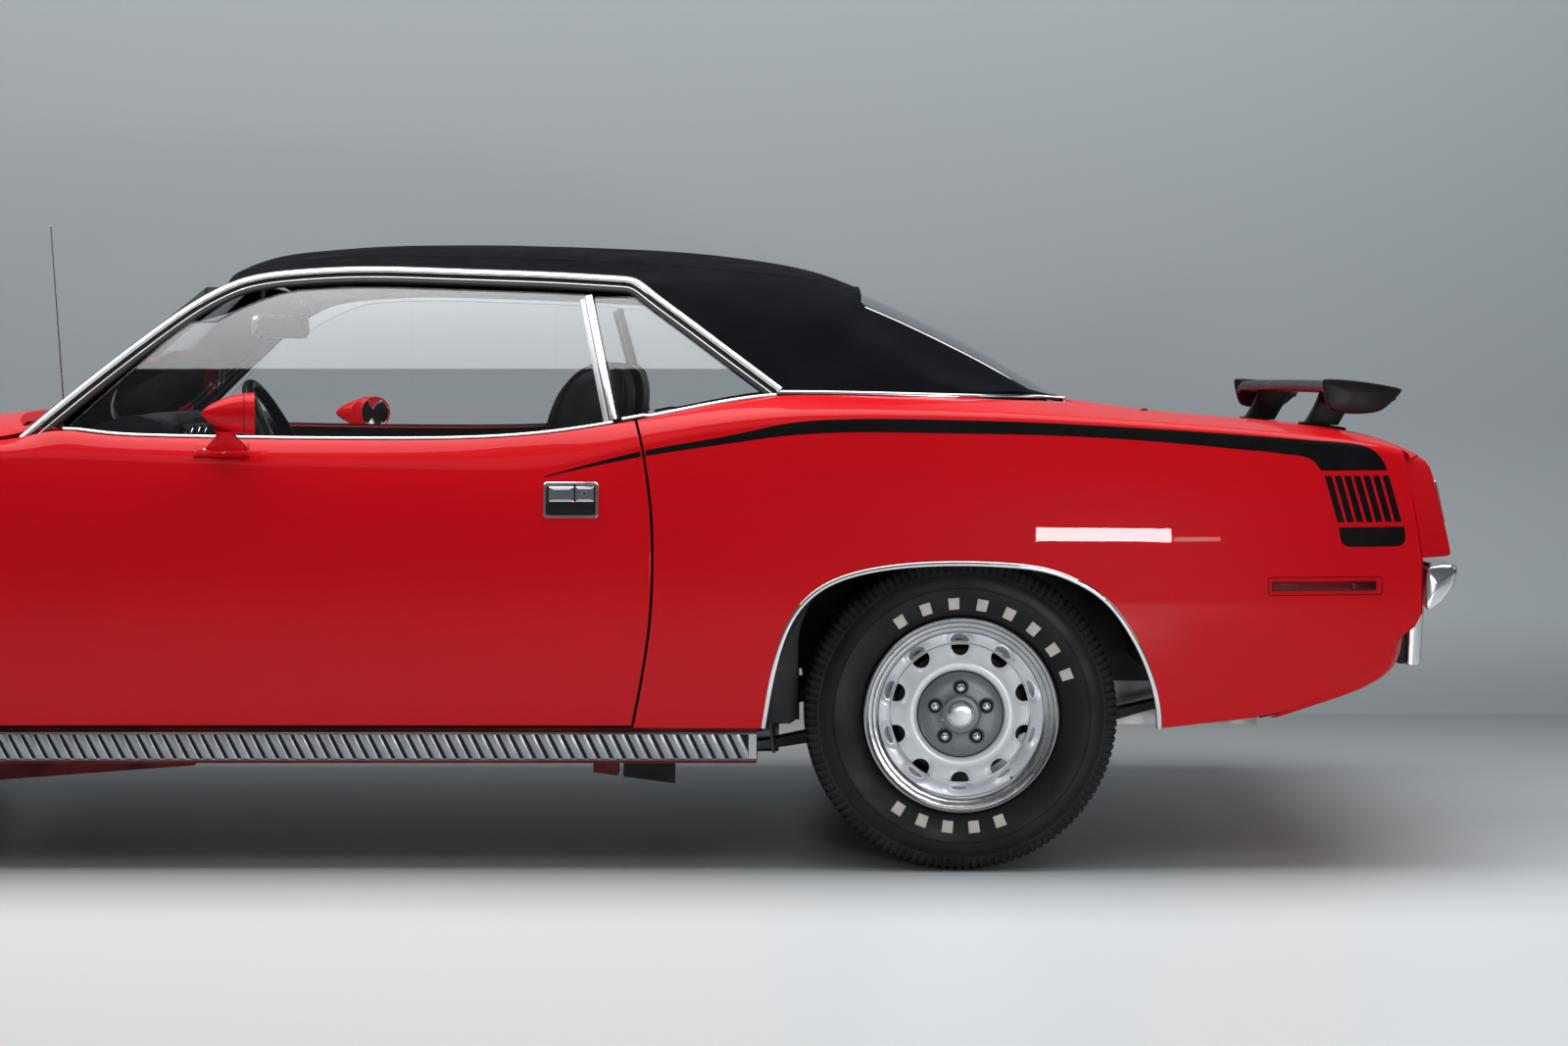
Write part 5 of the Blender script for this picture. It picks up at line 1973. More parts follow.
# ------------------------------------------------------------------ rear wing on the deck lid
def make_wing():
    M = Mesh()
    prof = soft_ring([(-2096, 1026), (-2110, 1040), (-2180, 1034), (-2262, 1022), (-2263, 1014.5), (-2200, 1008), (-2130, 1010), (-2102, 1014)], 0.2, 3)
    t = np.unique(np.r_[np.linspace(-1, -0.86, 22), np.linspace(-0.86, 0.86, 60), np.linspace(0.86, 1, 22)])
    G = []
    for q in t:
        a = abs(q)
        # the sheet turns down into the end plates
        e = max(0.0, (a - 0.90) / 0.10)
        k = 1.0 - 0.06 * a ** 6
        x, z = prof[:, 0], prof[:, 1]
        low = np.clip((1040.0 - z) / 32.0, 0, 1)
        zz = z - 4.0 * a ** 4 - low * 22.0 * e ** 3
        G.append(np.stack([-2180 + (x + 2180) * k, np.full(len(x), 656.0 * q), zz], -1))
    G = np.array(G)
    M.grid(G, 0, cv=True, out=lambda Q: Q - Q.mean(1, keepdims=True))
    end = dense(soft_ring([(-2094, 1036), (-2102, 1042), (-2180, 1036), (-2268, 1021), (-2269, 1013), (-2232, 976), (-2212, 967.5), (-2164, 963.5), (-2118, 970), (-2106, 982)], 0.24, 3), 90)
    for s in (1, -1):
        def bulge(P, s=s):
            P = P.copy()
            d = np.clip(1 - ((P[:, 0] + 2180) / 86.0) ** 2, 0, 1) * np.clip(1 - ((P[:, 2] - 1004) / 40.0) ** 2, 0, 1)
            P[:, 1] += np.where(P[:, 1] * s > 661.0, s * 1.8 * d, 0)
            return P
        plate(M, end, "y", s * 651.0, s * 668.0, 0, 4.5, f=bulge)
        # leg: a blade-like strut that leans back, with a foot pad that follows the lid
        y = s * 450.0
        n = 18
        rows = []
        for k in np.linspace(0, 1, n):
            zt = float(top_z(-2130, y)) + 3.0
            z = lerp(zt, 1016.0, k)
            flare = 1 + 0.16 * (1 - k) ** 3 + 0.10 * k ** 3
            x0, x1 = lerp(-2090.0, -2130.0, k ** 0.92), lerp(-2164.0, -2216.0, k ** 0.92)
            xc, hx, hy = 0.5 * (x0 + x1), 0.5 * abs(x1 - x0) * flare * 0.97, 8.2 * (1 + 0.35 * (1 - k) ** 4)
            a = np.linspace(0, 2 * math.pi, 30, endpoint=False)
            rows.append(np.stack([xc + hx * np.sign(np.cos(a)) * np.abs(np.cos(a)) ** 0.6, y + hy * np.sign(np.sin(a)) * np.abs(np.sin(a)) ** 0.8, np.full(30, z)], -1))
        R = np.array(rows)
        M.grid(R, 0, cv=True, out=lambda Q: Q - Q.mean(1, keepdims=True))
        ring = rrect(-2186, -2080, y - 15, y + 15, 12, 7)

        def lay(P):
            P = P.copy()
            P[:, 2] = P[:, 2] + top_z(P[:, 0], P[:, 1])
            return P
        plate(M, ring, "z", 0.6, 6.2, 0, 2.4, f=lay)
        plate(M, inset(ring, -1.4), "z", 0.3, 1.6, 1, 0.4, f=lay)
    M.obj("wing_skin", [M_SATIN, M_SEAL], "deck_lid", sharp=38, slot="satin_black", replaces="rear_wing")


make_wing()


# ------------------------------------------------------------------ bumpers
def rear_bumper():
    M = Mesh()
    P = dense(soft_ring([(-2303, 645), (-2340, 649), (-2366, 647), (-2371, 636), (-2362, 601), (-2341, 571), (-2312, 549), (-2304, 556)], 0.16, 3), 46)
    across(M, P, 852.0, 4.0, 17.0, 0.9, 0, s=-1.0, tip=0.012, round_=0.80)
    for s in (1, -1):
        y = s * 465.0
        rows = []
        for z in np.r_[402.3, 403.5, 406, np.linspace(411, 556, 26)]:
            e = (z - 402.0) / 158.0
            hy = lerp(20.0, 24.0, e)
            xb = lerp(-2352.0, -2362.0, e) + 5.0 * max(0, 1 - (z - 402) / 9.0) ** 2
            xa = -2318.5 - 3.0 * max(0, 1 - (z - 402) / 6.0) ** 2
            a = np.linspace(0, 2 * math.pi, 32, endpoint=False)
            cx, hx = 0.5 * (xa + xb), 0.5 * abs(xb - xa)
            rows.append(np.stack([cx + hx * np.sign(np.cos(a)) * np.abs(np.cos(a)) ** 0.45, y + hy * np.sign(np.sin(a)) * np.abs(np.sin(a)) ** 0.55, np.full(32, z)], -1))
        R = np.array(rows)
        M.grid(R, 0, cv=True, out=lambda Q: Q - Q.mean(1, keepdims=True))
        M.fan(R[0], 0, (0, 0, -1))
        # rubber backing in front of the guard
        plate(M, dense(soft_ring([(y - 20, 404), (y + 20, 404), (y + 22, 552), (y - 22, 552)], 0.06, 2), 40), "x", -2318.0, -2303.0, 1, 2.0)
    # the bolts that hold it, and the licence lamp recess in the middle
    for y in (-700, -250, 250, 700):
        M.ball((-2367.5 + 0.004 * abs(y), y, 619), (3.5, 9, 9), 0, 18, 8)
    M.obj("rear_bumper_skin", [M_CHROME, M_SEAL], "root", sharp=40, slot="bright_trim", replaces="rear_bumper")


def front_bumper():
    M = Mesh()
    P = dense(soft_ring([(2301, 560), (2340, 566), (2366, 557), (2371, 538), (2363, 506), (2343, 480), (2314, 466), (2305, 474)], 0.16, 3), 46)
    across(M, P, 850.0, 26.0, 80.0, 0.8, 0, s=1.0, tip=0.012, round_=0.8)
    for y in (-600, -220, 220, 600):
        x = 2366.0 - 26.0 * (y / 850.0) ** 2
        M.ball((x, y, 522), (3.5, 9, 9), 0, 18, 8)
    M.obj("front_bumper_skin", [M_CHROME], "root", sharp=40, slot="bright_trim", replaces="front_bumper")


rear_bumper()
front_bumper()


# ------------------------------------------------------------------ valances with their blank plates
def valance(pts, half, drop, name, s, node, plate_z, follow=None, bow=0.4):
    P = curve(pts, 34)
    t = np.unique(np.r_[np.linspace(-1, -0.9, 14), np.linspace(-0.9, 0.9, 70), np.linspace(0.9, 1, 14)])
    T, J = np.meshgrid(t, np.arange(len(P)), indexing="ij")
    X, Z = P[J, 0], P[J, 1]
    X = X - s * drop * np.clip((np.abs(T) - 1 + bow) / bow, 0, None) ** 2
    H = np.full(X.shape, half) if follow is None else side_y(X, Z) - follow
    O = np.stack([X, H * T, Z], -1)
    # ends rolled round towards the body
    e = np.clip((np.abs(T) - 0.985) / 0.015, 0, 1)
    O[..., 0] -= s * 9.0 * e ** 2
    I = O - np.array([s * 7.0, 0, -2.0])
    M = shell(Mesh(), O, I, (s, 0, -0.3), 0, 1, r=2.0)
    if follow is not None:
        # the ends run on forward under the quarter panel's lower edge
        xs = np.r_[np.linspace(-2270, -2262, 6), np.linspace(-2258, -1990, 60)]
        low = drop + 9.0 + np.interp(np.linspace(0, 1, len(xs)), np.linspace(0, 1, len(P)), P[:, 0]), np.interp(np.linspace(0, 1, len(xs)), np.linspace(0, 1, len(P)), P[:, 1])
        for q in (1, -1):
            B = np.stack(low, 1)
            A = np.stack([xs, QUARTER_LOW(xs) + 5.0], 1)
            k = np.linspace(0, 1, 12)[None, :, None]
            G2 = B[:, None] + (A - B)[:, None] * k
            yy = side_y(G2[..., 0], G2[..., 1]) - follow - 1.0 + 4.0 * np.clip(k[..., 0] * 3, 0, 1)
            G3 = np.stack([G2[..., 0], q * yy, G2[..., 1]], -1)
            NG = gnorm(G3)
            NG = NG * np.sign((NG * np.array([0, q, 0.0])).sum())
            M.grid(G3, 0, out=(0, q, 0), N=NG)
            # the dark joint under the quarter panel's lower edge
            xj = np.linspace(-2268, -1930, 90)
            zj = QUARTER_LOW(xj)
            rows = [np.stack([xj, q * (side_y(xj, zj) - 8.5 - b), zj + c], -1) for b, c in ((0.0, 3.0), (0.0, -3.6), (4.0, -4.2))]
            M.grid(np.stack(rows, 1), 2, out=(0, q, -0.3))
    o = M.obj(name + "_skin", [M_PAINT, M_UNDER, M_SEAL], "root", slot="body_paint", replaces=node)
    # the plate: blank, in a thin frame, on its pad
    M = Mesh()
    px = {1: (2276.0, 2299.0), -1: (-2256.0, -2279.0)}[s]
    z0, z1 = plate_z
    plate(M, rrect(-151, 151, z0, z1, 6), "x", px[0], px[1] - s * 2.2, 0, 1.0)
    plate(M, rrect(-148, 148, z0 + 3, z1 - 3, 8), "x", px[1] - s * 2.4, px[1] - s * 0.9, 1, 0.5)
    fr = rrect(-144, 144, z0 + 6, z1 - 6, 6)
    fr2 = inset(fr, 2.4)
    G = np.stack([np.column_stack([np.full(len(fr), px[1] - s * 1.0), fr]), np.column_stack([np.full(len(fr), px[1] - s * 0.1), inset(fr, 1.0)]),
                  np.column_stack([np.full(len(fr), px[1] - s * 1.0), fr2])], 1)
    M.grid(G, 1, cu=True, out=(s, 0, 0))
    for y in (-89, 89):
        M.lathe([(0.01, 0), (5.2, 0), (5.2, 0.9 * s), (4.2, 1.6 * s), (0.01, 1.8 * s)], (px[1] - s * 1.8, y, z1 - 17 if s < 0 else z1 - 20), "x", 20, 2)
    M.obj(name + "_plate", [M_FLATBLACK, M_WHITE, M_STEEL], "root", sharp=35, slot="bright_trim")
    return o


valance([(-2262, 541), (-2266, 500), (-2263, 478), (-2250, 430), (-2215, 400), (-2120, 362), (-2010, 326)], 790.0, 44.0, "rear_valance", -1.0, "rear_valance", (440, 532), 10.0, 0.22)
valance([(2292, 452), (2288, 420), (2270, 380), (2235, 340), (2160, 305), (2080, 292)], 790.0, 60.0, "front_valance", 1.0, "front_valance", (392, 452))


# ------------------------------------------------------------------ tail lamps on the sloping face
LAMP_LOW, LAMP_TOP = np.array([-2335.2, 725.0]), np.array([-2313.5, 825.0])


def tail_lamps():
    M = Mesh()
    d = LAMP_TOP - LAMP_LOW
    L = float(np.linalg.norm(d))
    d = d / L
    nrm = np.array([-d[1], d[0]])
    if nrm[0] > 0:
        nrm = -nrm

    def lay(P):
        """x = height off the face, z = way up the face."""
        h, k = P[:, 0], P[:, 2]
        q = LAMP_LOW + d * k[:, None] + nrm * h[:, None]
        return np.stack([q[:, 0], P[:, 1], q[:, 1]], -1)

    def ringG(R, hs, m):
        G = np.stack([lay(np.column_stack([np.full(len(r), h), r])) for r, h in zip(R, hs)], 1)
        M.grid(G, m, cu=True, out=lambda Q: np.broadcast_to(np.array([nrm[0], 0, nrm[1]]), Q.shape) + 0.002 * (Q - Q.mean((0, 1))))
    for s in (1, -1):
        for a, b in ((330, 546), (556, 772)):
            y0, y1 = (a, b) if s > 0 else (-b, -a)
            R0 = rrect(y0, y1, 1.0, L - 1.0, 7)
            ringG([R0, R0, inset(R0, 1.5), inset(R0, 5.0), inset(R0, 6.2)], [0.9, 6.0, 8.2, 8.2, 4.0], 0)
            R1 = inset(R0, 6.2)
            yy0, yy1, zz0, zz1 = R1[:, 0].min(), R1[:, 0].max(), R1[:, 1].min(), R1[:, 1].max()
            # ribbed lens
            yv = np.r_[np.linspace(yy0, yy0 + 9, 7), np.linspace(yy0 + 9, yy1 - 9, 12)[1:-1], np.linspace(yy1 - 9, yy1, 7)]
            if a == 330:
                yv = np.sort(np.r_[yv, s * 438.0])
            zv = np.linspace(zz0, zz1, 90)
            Yg, Zg = np.meshgrid(yv, zv, indexing="ij")
            rib = 1.1 * np.abs(np.sin((Zg - zz0) / (zz1 - zz0) * math.pi * 9)) ** 0.6
            edge = np.minimum(np.minimum(Yg - yy0, yy1 - Yg), np.minimum(Zg - zz0, zz1 - Zg))
            Hh = 4.2 + 1.8 * smooth(edge / 9.0) + rib * smooth(edge / 5.0)
            clear = (np.abs(Yg) > 452) & (np.abs(Yg) < 500) if a == 330 else np.zeros(Yg.shape, bool)
            G = lay(np.column_stack([Hh.ravel(), Yg.ravel(), Zg.ravel()])).reshape(len(yv), 90, 3)
            cut = int(np.argmin(np.abs(yv - s * 438))) if a == 330 else None
            if cut is None:
                M.grid(G, 1, out=(nrm[0], 0, nrm[1]))
            else:
                lo, hi = (slice(0, cut + 1), slice(cut, None))
                # the inner end of the inner lamp is the clear reversing lens
                M.grid(G[lo], 2 if s > 0 else 1, out=(nrm[0], 0, nrm[1]))
                M.grid(G[hi], 1 if s > 0 else 2, out=(nrm[0], 0, nrm[1]))
                M.tube(G[cut] + np.array([nrm[0], 0, nrm[1]]) * 0.8, 1.4, 0, 8)
    M.obj("tail_lamp_skin", [M_CHROME, M_LAMPR, M_REFL], "root", sharp=35, slot="lamp_red", replaces="tail_lamps")
    # blacked-out strip between the lamps, across the tail face
    M = Mesh()
    Yg, Zg = np.meshgrid(np.linspace(-322, 322, 60), np.linspace(4, L - 4, 8), indexing="ij")
    G = lay(np.column_stack([np.full(Yg.size, 1.4), Yg.ravel(), Zg.ravel()])).reshape(60, 8, 3)
    M.grid(G, 0, out=(nrm[0], 0, nrm[1]))
    M.obj("tail_centre_panel", [M_SATIN], "root", sharp=35, slot="satin_black")


tail_lamps()


# ------------------------------------------------------------------ small things on the tail and the deck
def tail_bits():
    M = Mesh()
    # lid lock and pull
    y = 0.0
    z = float(top_z(-2150, 0))
    # drop-shaped nub on the deck, left and right of the lid's front corners
    for s in (1, -1):
        x, yy = -1715.0, s * 600.0
        zz = float(top_z(x, yy))
        rows = []
        for k in np.linspace(0, 1, 12):
            a = np.linspace(0, 2 * math.pi, 20, endpoint=False)
            r = 5.2 * math.sqrt(max(0.0, 1 - k * k)) + 0.05
            rows.append(np.stack([x - 3 * k + r * 1.7 * np.cos(a), yy + r * np.sin(a), np.full(20, zz + 0.4 + 5.0 * k)], -1))
        R = np.array(rows)
        M.grid(R, 0, cv=True, out=lambda Q: Q - np.array([x, yy, zz]))
    M.obj("deck_buttons", [M_SATIN], "deck_lid", sharp=50, slot="satin_black")


tail_bits()


# ------------------------------------------------------------------ nose: grille, lamps, parking lamps
def make_front():
    M = Mesh()
    plate(M, rrect(-799, 799, 587, 785, 10), "x", 2246.5, 2250.0, 0, 1.0)
    # honeycomb of thin bars over the dark plate
    for z in np.arange(596, 782, 11.0):
        M.block(2249.5, 2255.5, -560, 560, z - 1.1, z + 1.1, 0, 0.5)
    for y in np.arange(-553, 560, 24.0):
        M.block(2249.5, 2254.5, y - 1.1, y + 1.1, 590, 782, 0, 0.5)
    for z in (620, 655, 690, 725, 760):
        plate(M, rrect(-559, 559, z - 3.6, z + 3.6, 3.0), "x", 2254.0, 2274.5, 2, 1.6)
    # centre post, body coloured with a bright edge
    plate(M, dense(soft_ring([(-13.5, 593), (13.5, 593), (13.5, 783), (-13.5, 783)], 0.02, 2), 60), "x", 2254.0, 2319.0, 1, 5.0)
    # bright frame round the grille
    fr = rrect(-562, 562, 590, 783, 14)
    G = np.stack([np.column_stack([np.full(len(fr), x), inset(fr, k)]) for x, k in ((2252, -3), (2275, -3), (2277, -1), (2277, 2), (2275, 4), (2252, 4))], 1)
    M.grid(G, 2, cu=True, out=lambda Q: Q - np.stack([G.mean(1)] * 6, 1))
    M.obj("grille_skin", [M_FLATBLACK, M_PAINT, M_CHROME], "root", sharp=35, slot="satin_black", replaces="grille")
    M = Mesh()
    for s in (1, -1):
        c = (0.0, s * 690.0, 684.0)
        # bezel, bucket, reflector, lens
        M.lathe([(91.8, 2257), (91.8, 2287), (89.5, 2293), (86, 2294.6), (81.5, 2293), (79.5, 2288)], c, "x", 80, 0, flip=True)
        refl = [(r, 2288 - 26 * (1 - (r / 80.0) ** 2)) for r in np.linspace(79.5, 0.01, 22)]
        M.lathe(refl, c, "x", 80, 1, flip=True)
        M.ball((2266, s * 690, 684), (9, 7, 7), 1, 16, 10)
        n = 26
        prof = [(80.0 * math.sin(a), 2288.2 + 6.4 * math.cos(a)) for a in np.linspace(math.pi / 2, 0.001, n)]
        M.lathe(prof, c, "x", 80, 2, flip=True)
    M.obj("headlamp_skin", [M_CHROME, M_REFL, M_LENS], "root", sharp=40, slot="lamp_clear", replaces="headlamps")
    # parking lamps under the bumper, plain amber
    M = Mesh()
    for s in (1, -1):
        y = s * 470.0
        plate(M, rrect(y - 52, y + 52, 388, 428, 8), "x", 2270, 2290.5, 0, 1.8)
        plate(M, rrect(y - 46, y + 46, 393, 423, 6), "x", 2288, 2293.5, 1, 2.2)
    M.obj("parking_lamps", [M_CHROME, M_LAMPA], "root", sharp=35, slot="lamp_clear")


make_front()


# ------------------------------------------------------------------ cowl: painted corners, vent panel, wipers
def make_cowl():
    M = Mesh()
    for s in (1, -1):
        U, W = np.meshgrid(uv(20, 0.02), uv(20, 0.03), indexing="ij")
        y = lerp(HOOD_HALF + GAP, 838.0, W)
        x = lerp(612.0, 740.0, U)
        O = np.stack([x, s * y, top_z(x, y)], -1)
        shell(M, O, O - [0, 0, 12.0], UP, 0, 0, r=1.6)
    M.obj("cowl_corners", [M_PAINT], "root", slot="body_paint", replaces="cowl")
    M = Mesh()
    # pan and firewall
    n = 50
    y = np.linspace(-752, 752, n)
    xr = ws_x(y, 893.0) - 16.0
    G = np.stack([np.stack([xr, y, np.full(n, 880.0)], -1), np.stack([np.full(n, 884.0), y, np.full(n, 880.0)], -1)], 0)
    M.grid(G, 0, out=(0, 0, 1))
    M.grid(G - [0, 0, 12.0], 0, out=(0, 0, -1))
    M.grid(np.stack([G[0], G[0] - [0, 0, 12.0]], 0), 0, out=(-1, 0, 0))
    plate(M, rrect(-752, 752, 352, 880, 3), "x", 884, 896, 0, 1.5)
    for s in (1, -1):
        M.block(884, 896, s * 140, s * 752, 228, 353, 0, 1.5)
    # louvred intake under the windshield
    for k in range(34):
        yy = -680 + k * 41.2
        x0 = float(ws_x(yy, 893.0)) + 14.0
        x1 = min(x0 + 46.0, 868.0)
        if x1 - x0 > 12:
            M.block(x0, x1, yy - 13, yy + 13, 879.5, 883.0, 1, 1.2)
    # wipers: arm and blade lying at the glass's foot
    for y0, y1 in ((-160, 330), (330, 690)):
        yy = np.linspace(y0, y1, 26)
        zz = 908.0 + 10.0 * np.sin((yy - y0) / (y1 - y0) * math.pi)
        P = np.stack([ws_x(yy, zz) + 8.0, yy, zz + 4.0], -1)
        M.tube(P, 2.6, 1, 8)
        Q = P[6:-2] + [7.0, 0, 5.0]
        M.tube(np.vstack([[(float(ws_x(y0, 893)) + 26, y0 - 10 if y0 > 0 else y0 - 20, 893)], Q]), 3.2, 1, 8)
        M.lathe([(0.01, 22), (8, 22), (10, 18), (11, 0)], (float(ws_x(y0, 893)) + 27, y0 - 14, 880), "z", 20, 1)
    M.obj("cowl_pan_skin", [M_UNDER, M_SATIN], "root", sharp=35, slot="satin_black")


make_cowl()


def antenna():
    M = Mesh()
    n = 30
    k = np.linspace(0, 1, n)
    base = float(top_z(972.0, 800.0))
    P = np.stack([lerp(972.0, 1003.0, k), np.full(n, -800.0) if ANT_RIGHT else np.full(n, 800.0), lerp(base + 18.0, 1440.0, k)], -1)
    M.tube(P, lerp(2.3, 1.4, k), 0, 10)
    M.ball(P[-1], 3.0, 0, 14, 10)
    yb = P[0, 1]
    M.lathe([(15, 0.4), (14.6, 3.0), (11.5, 8.0), (9.0, 16), (7.2, 22), (3.2, 24), (2.4, 26)], (972.0, yb, base), "z", 30, 0)
    M.obj("antenna_mast", [M_MAST], "root", sharp=45, slot="bright_trim", replaces="antenna")


ANT_RIGHT = True
antenna()


# ------------------------------------------------------------------ seats: padded pieces with seams
def loft(rows):
    """Closed form through equal rings."""
    M = Mesh()
    R = np.asarray(rows, float)
    M.grid(R, 0, cv=True, out=lambda Q: Q - Q.mean((1), keepdims=True))
    M.fan(R[0], 0, R[0].mean(0) - R[1].mean(0))
    M.fan(R[-1], 0, R[-1].mean(0) - R[-2].mean(0))
    return M


def puffed(o, pressure, cap, seed_frames=20, voxel=0.016):
    """Cloth with air inside it, off its sewn pattern; the settled form is kept, its movement capped (millimetres)."""
    sc = bpy.context.scene
    rm = o.modifiers.new("remesh", "REMESH")
    rm.mode = "VOXEL"
    rm.voxel_size = voxel
    dg = bpy.context.evaluated_depsgraph_get()
    me = bpy.data.meshes.new_from_object(o.evaluated_get(dg))
    o.modifiers.clear()
    start = np.empty(len(me.vertices) * 3)
    me.vertices.foreach_get("co", start)
    start = start.reshape(-1, 3)
    mats = [m for m in o.data.materials]
    o.data = me
    if not me.materials:
        for m in mats:
            me.materials.append(m)
    cl = o.modifiers.new("cloth", "CLOTH")
    st = cl.settings
    st.quality = 4
    st.mass = 0.3
    st.use_pressure = True
    st.uniform_pressure_force = pressure
    st.effector_weights.gravity = 0.0
    cl.point_cache.frame_start, cl.point_cache.frame_end = 1, seed_frames
    for f in range(1, seed_frames + 1):
        sc.frame_set(f)
    dg = bpy.context.evaluated_depsgraph_get()
    ev = o.evaluated_get(dg)
    n = len(me.vertices)
    end = np.empty(n * 3)
    ev.data.vertices.foreach_get("co", end)
    end = end.reshape(-1, 3)
    d = end - start
    L = np.linalg.norm(d, axis=1, keepdims=True)
    lim = cap * 0.001
    d = d * np.minimum(1.0, lim * np.tanh(L / lim) / np.maximum(L, 1e-9))
    o.modifiers.clear()
    me.vertices.foreach_set("co", (start + d).ravel())
    me.update()
    me.shade_smooth()
    sc.frame_set(1)
    return o


def piping(name, pts, r=3.0, body="root", closed=True, m=None):
    M = Mesh()
    M.tube(np.asarray(pts, float), r, 0, 8, closed=closed)
    return M.obj(name, [m or M_SEATV], body, sharp=60, slot="seat_vinyl")


def pad_shape(name, outline, y0, half, crown, front, channels, ch_depth, sq=0.5, body="root", n=120, nrow=61, bolster=0.0, sim=True):
    """Seat pad from its side outline (x, z): a closed form across y whose sides round over, crowned on the `front` run of the
    outline (index share from..to), with channels sewn in at those shares of the run and a bolster on each side."""
    O = dense(soft_ring(outline, 0.22, 3), n)
    c = O.mean(0)
    N = O - inset(O, 1.0)
    N = unit(N)
    s = np.arange(n) / n
    f0, f1 = front
    u = ((s - f0) % 1.0) / ((f1 - f0) % 1.0)
    on = (u >= 0) & (u <= 1)
    w = np.where(on, np.sin(math.pi * np.clip(u, 0, 1)) ** 0.6, 0.0)
    rows = []
    for q in np.linspace(-1, 1, nrow):
        a = abs(q)
        e = max(0.0, (a - 0.84) / 0.16)
        roundk = math.sqrt(max(0.0, 1 - e ** 2.3))
        inn = (1 - roundk) * 34.0
        R = O - N * inn
        h = crown * (1 - min(1.0, a / 0.70) ** 2.0) * 0.5 + bolster * math.exp(-((a - 0.82) / 0.085) ** 2)
        g = np.zeros(n)
        if channels:
            inside = 1.0 - smooth((a - 0.64) / 0.06)
            for cshare in channels:
                g = g + ch_depth * np.exp(-((u - cshare) / 0.016) ** 2) * inside * on
            g = g + ch_depth * 1.2 * math.exp(-((a - 0.68) / 0.022) ** 2) * w
        R = R + N * (w * h - g)[:, None]
        rows.append(np.column_stack([R[:, 0], np.full(n, y0 + half * q * (1 - 0.018 * 0)), R[:, 1]]))
    M = loft(rows)
    o = M.obj(name, [M_SEATV], body, sharp=70, slot="seat_vinyl")
    if sim:
        puffed(o, 1.6, 7.0)
    return o, O, N


CUSHION = [(146, 282), (160, 312), (138, 346), (60, 366), (-150, 360), (-262, 348), (-352, 338), (-346, 280)]
BACK = [(-300, 356), (-272, 380), (-303, 560), (-343, 720), (-398, 880), (-423, 985), (-456, 1048), (-510, 1081), (-556, 1083), (-586, 1048), (-567, 900), (-503, 640), (-428, 380), (-400, 356)]


def front_seat(y0, name, first=False):
    o, O, N = pad_shape(name + "_seat_cushion", CUSHION, y0, 234.0, 9.0, (0.10, 0.52), (0.16, 0.29, 0.42, 0.55, 0.68, 0.81), 4.0, bolster=5.0)
    b, OB_, NB = pad_shape(name + "_seat_back", BACK, y0, 222.0, 8.0, (0.06, 0.42), (0.14, 0.27, 0.40, 0.53, 0.66), 4.0, bolster=6.0)
    # piping along the side seams
    for k, yy in ((0.955, 1), (0.955, -1)):
        for nm, Oq, Nq, hh in (("cushion", O, N, 234.0), ("back", OB_, NB, 222.0)):
            ring = Oq - Nq * 5.5
            piping("%s_seat_%s_piping_%d" % (name, nm, yy), np.column_stack([ring[:, 0], np.full(len(ring), y0 + yy * hh * 0.93), ring[:, 1]]), 2.6)
    M = Mesh()
    # base: shell under the cushion, side hinge covers, tracks
    plate(M, dense(soft_ring([(128, 262), (140, 300), (-330, 300), (-338, 262)], 0.1, 2), 60), "y", y0 - 214, y0 + 214, 0, 6.0)
    for s in (1, -1):
        M.block(-300, 110, y0 + s * 180 - 16, y0 + s * 180 + 16, 238.5, 264, 1, 2.0)
        plate(M, dense(soft_ring([(-300, 322), (-262, 350), (-290, 410), (-345, 420), (-392, 380), (-385, 322)], 0.2, 2), 50), "y", y0 + s * 218, y0 + s * 235.5, 0, 3.0)
        M.lathe([(0.01, s * 237.5), (9, s * 237.5), (11, s * 236), (11, s * 232)], (-330, y0, 372), "y", 24, 1)
    M.obj(name + "_seat_frame", [M_TRIM, M_STEEL], "root", sharp=40, slot="interior_plastic", replaces="front_seats" if first else ())


front_seat(386.0, "left", True)
front_seat(-386.0, "right")


def rear_seat():
    cush = [(-577, 306), (-581, 378), (-606, 398), (-800, 384), (-905, 374), (-948, 372), (-948, 306)]
    for s, nm in ((1, "left"), (-1, "right")):
        # cushion halves sit each side of the tunnel
        pad_shape("rear_cushion_" + nm, cush, s * 352.0, 206.0, 7.0, (0.22, 0.55), (0.2, 0.4, 0.6, 0.8), 3.6, bolster=3.0, n=110, sim=True)
        pad_shape("rear_back_" + nm, [(-915, 384), (-962, 560), (-1032, 758), (-1072, 846), (-1120, 857), (-1172, 838), (-1122, 660), (-1034, 500), (-956, 500), (-952, 384)],
                  s * 352.0, 206.0, 7.0, (0.97, 0.30), (0.2, 0.36, 0.52, 0.68, 0.84), 3.6, bolster=3.0, n=120, sim=True)
    # the middle: hump of the cushion over the tunnel and the back between
    pad_shape("rear_cushion_middle", [(-577, 362), (-581, 380), (-606, 396), (-800, 382), (-905, 372), (-948, 370), (-948, 362)], 0.0, 143.0, 4.0, (0.22, 0.55), (), 0.0, n=90, sim=False)
    pad_shape("rear_back_middle", [(-915, 384), (-962, 560), (-1032, 758), (-1072, 846), (-1120, 857), (-1172, 838), (-1122, 660), (-1034, 500), (-956, 500), (-952, 384)],
              0.0, 143.0, 4.0, (0.97, 0.30), (), 0.0, n=100, sim=False)
    M = Mesh()
    M.block(-945, -580, -558, -142, 301, 308, 0, 2.0)
    M.block(-945, -580, 142, 558, 301, 308, 0, 2.0)
    M.obj("rear_seat_base", [M_TRIM], "root", sharp=40, slot="interior_plastic", replaces="rear_seat")


rear_seat()


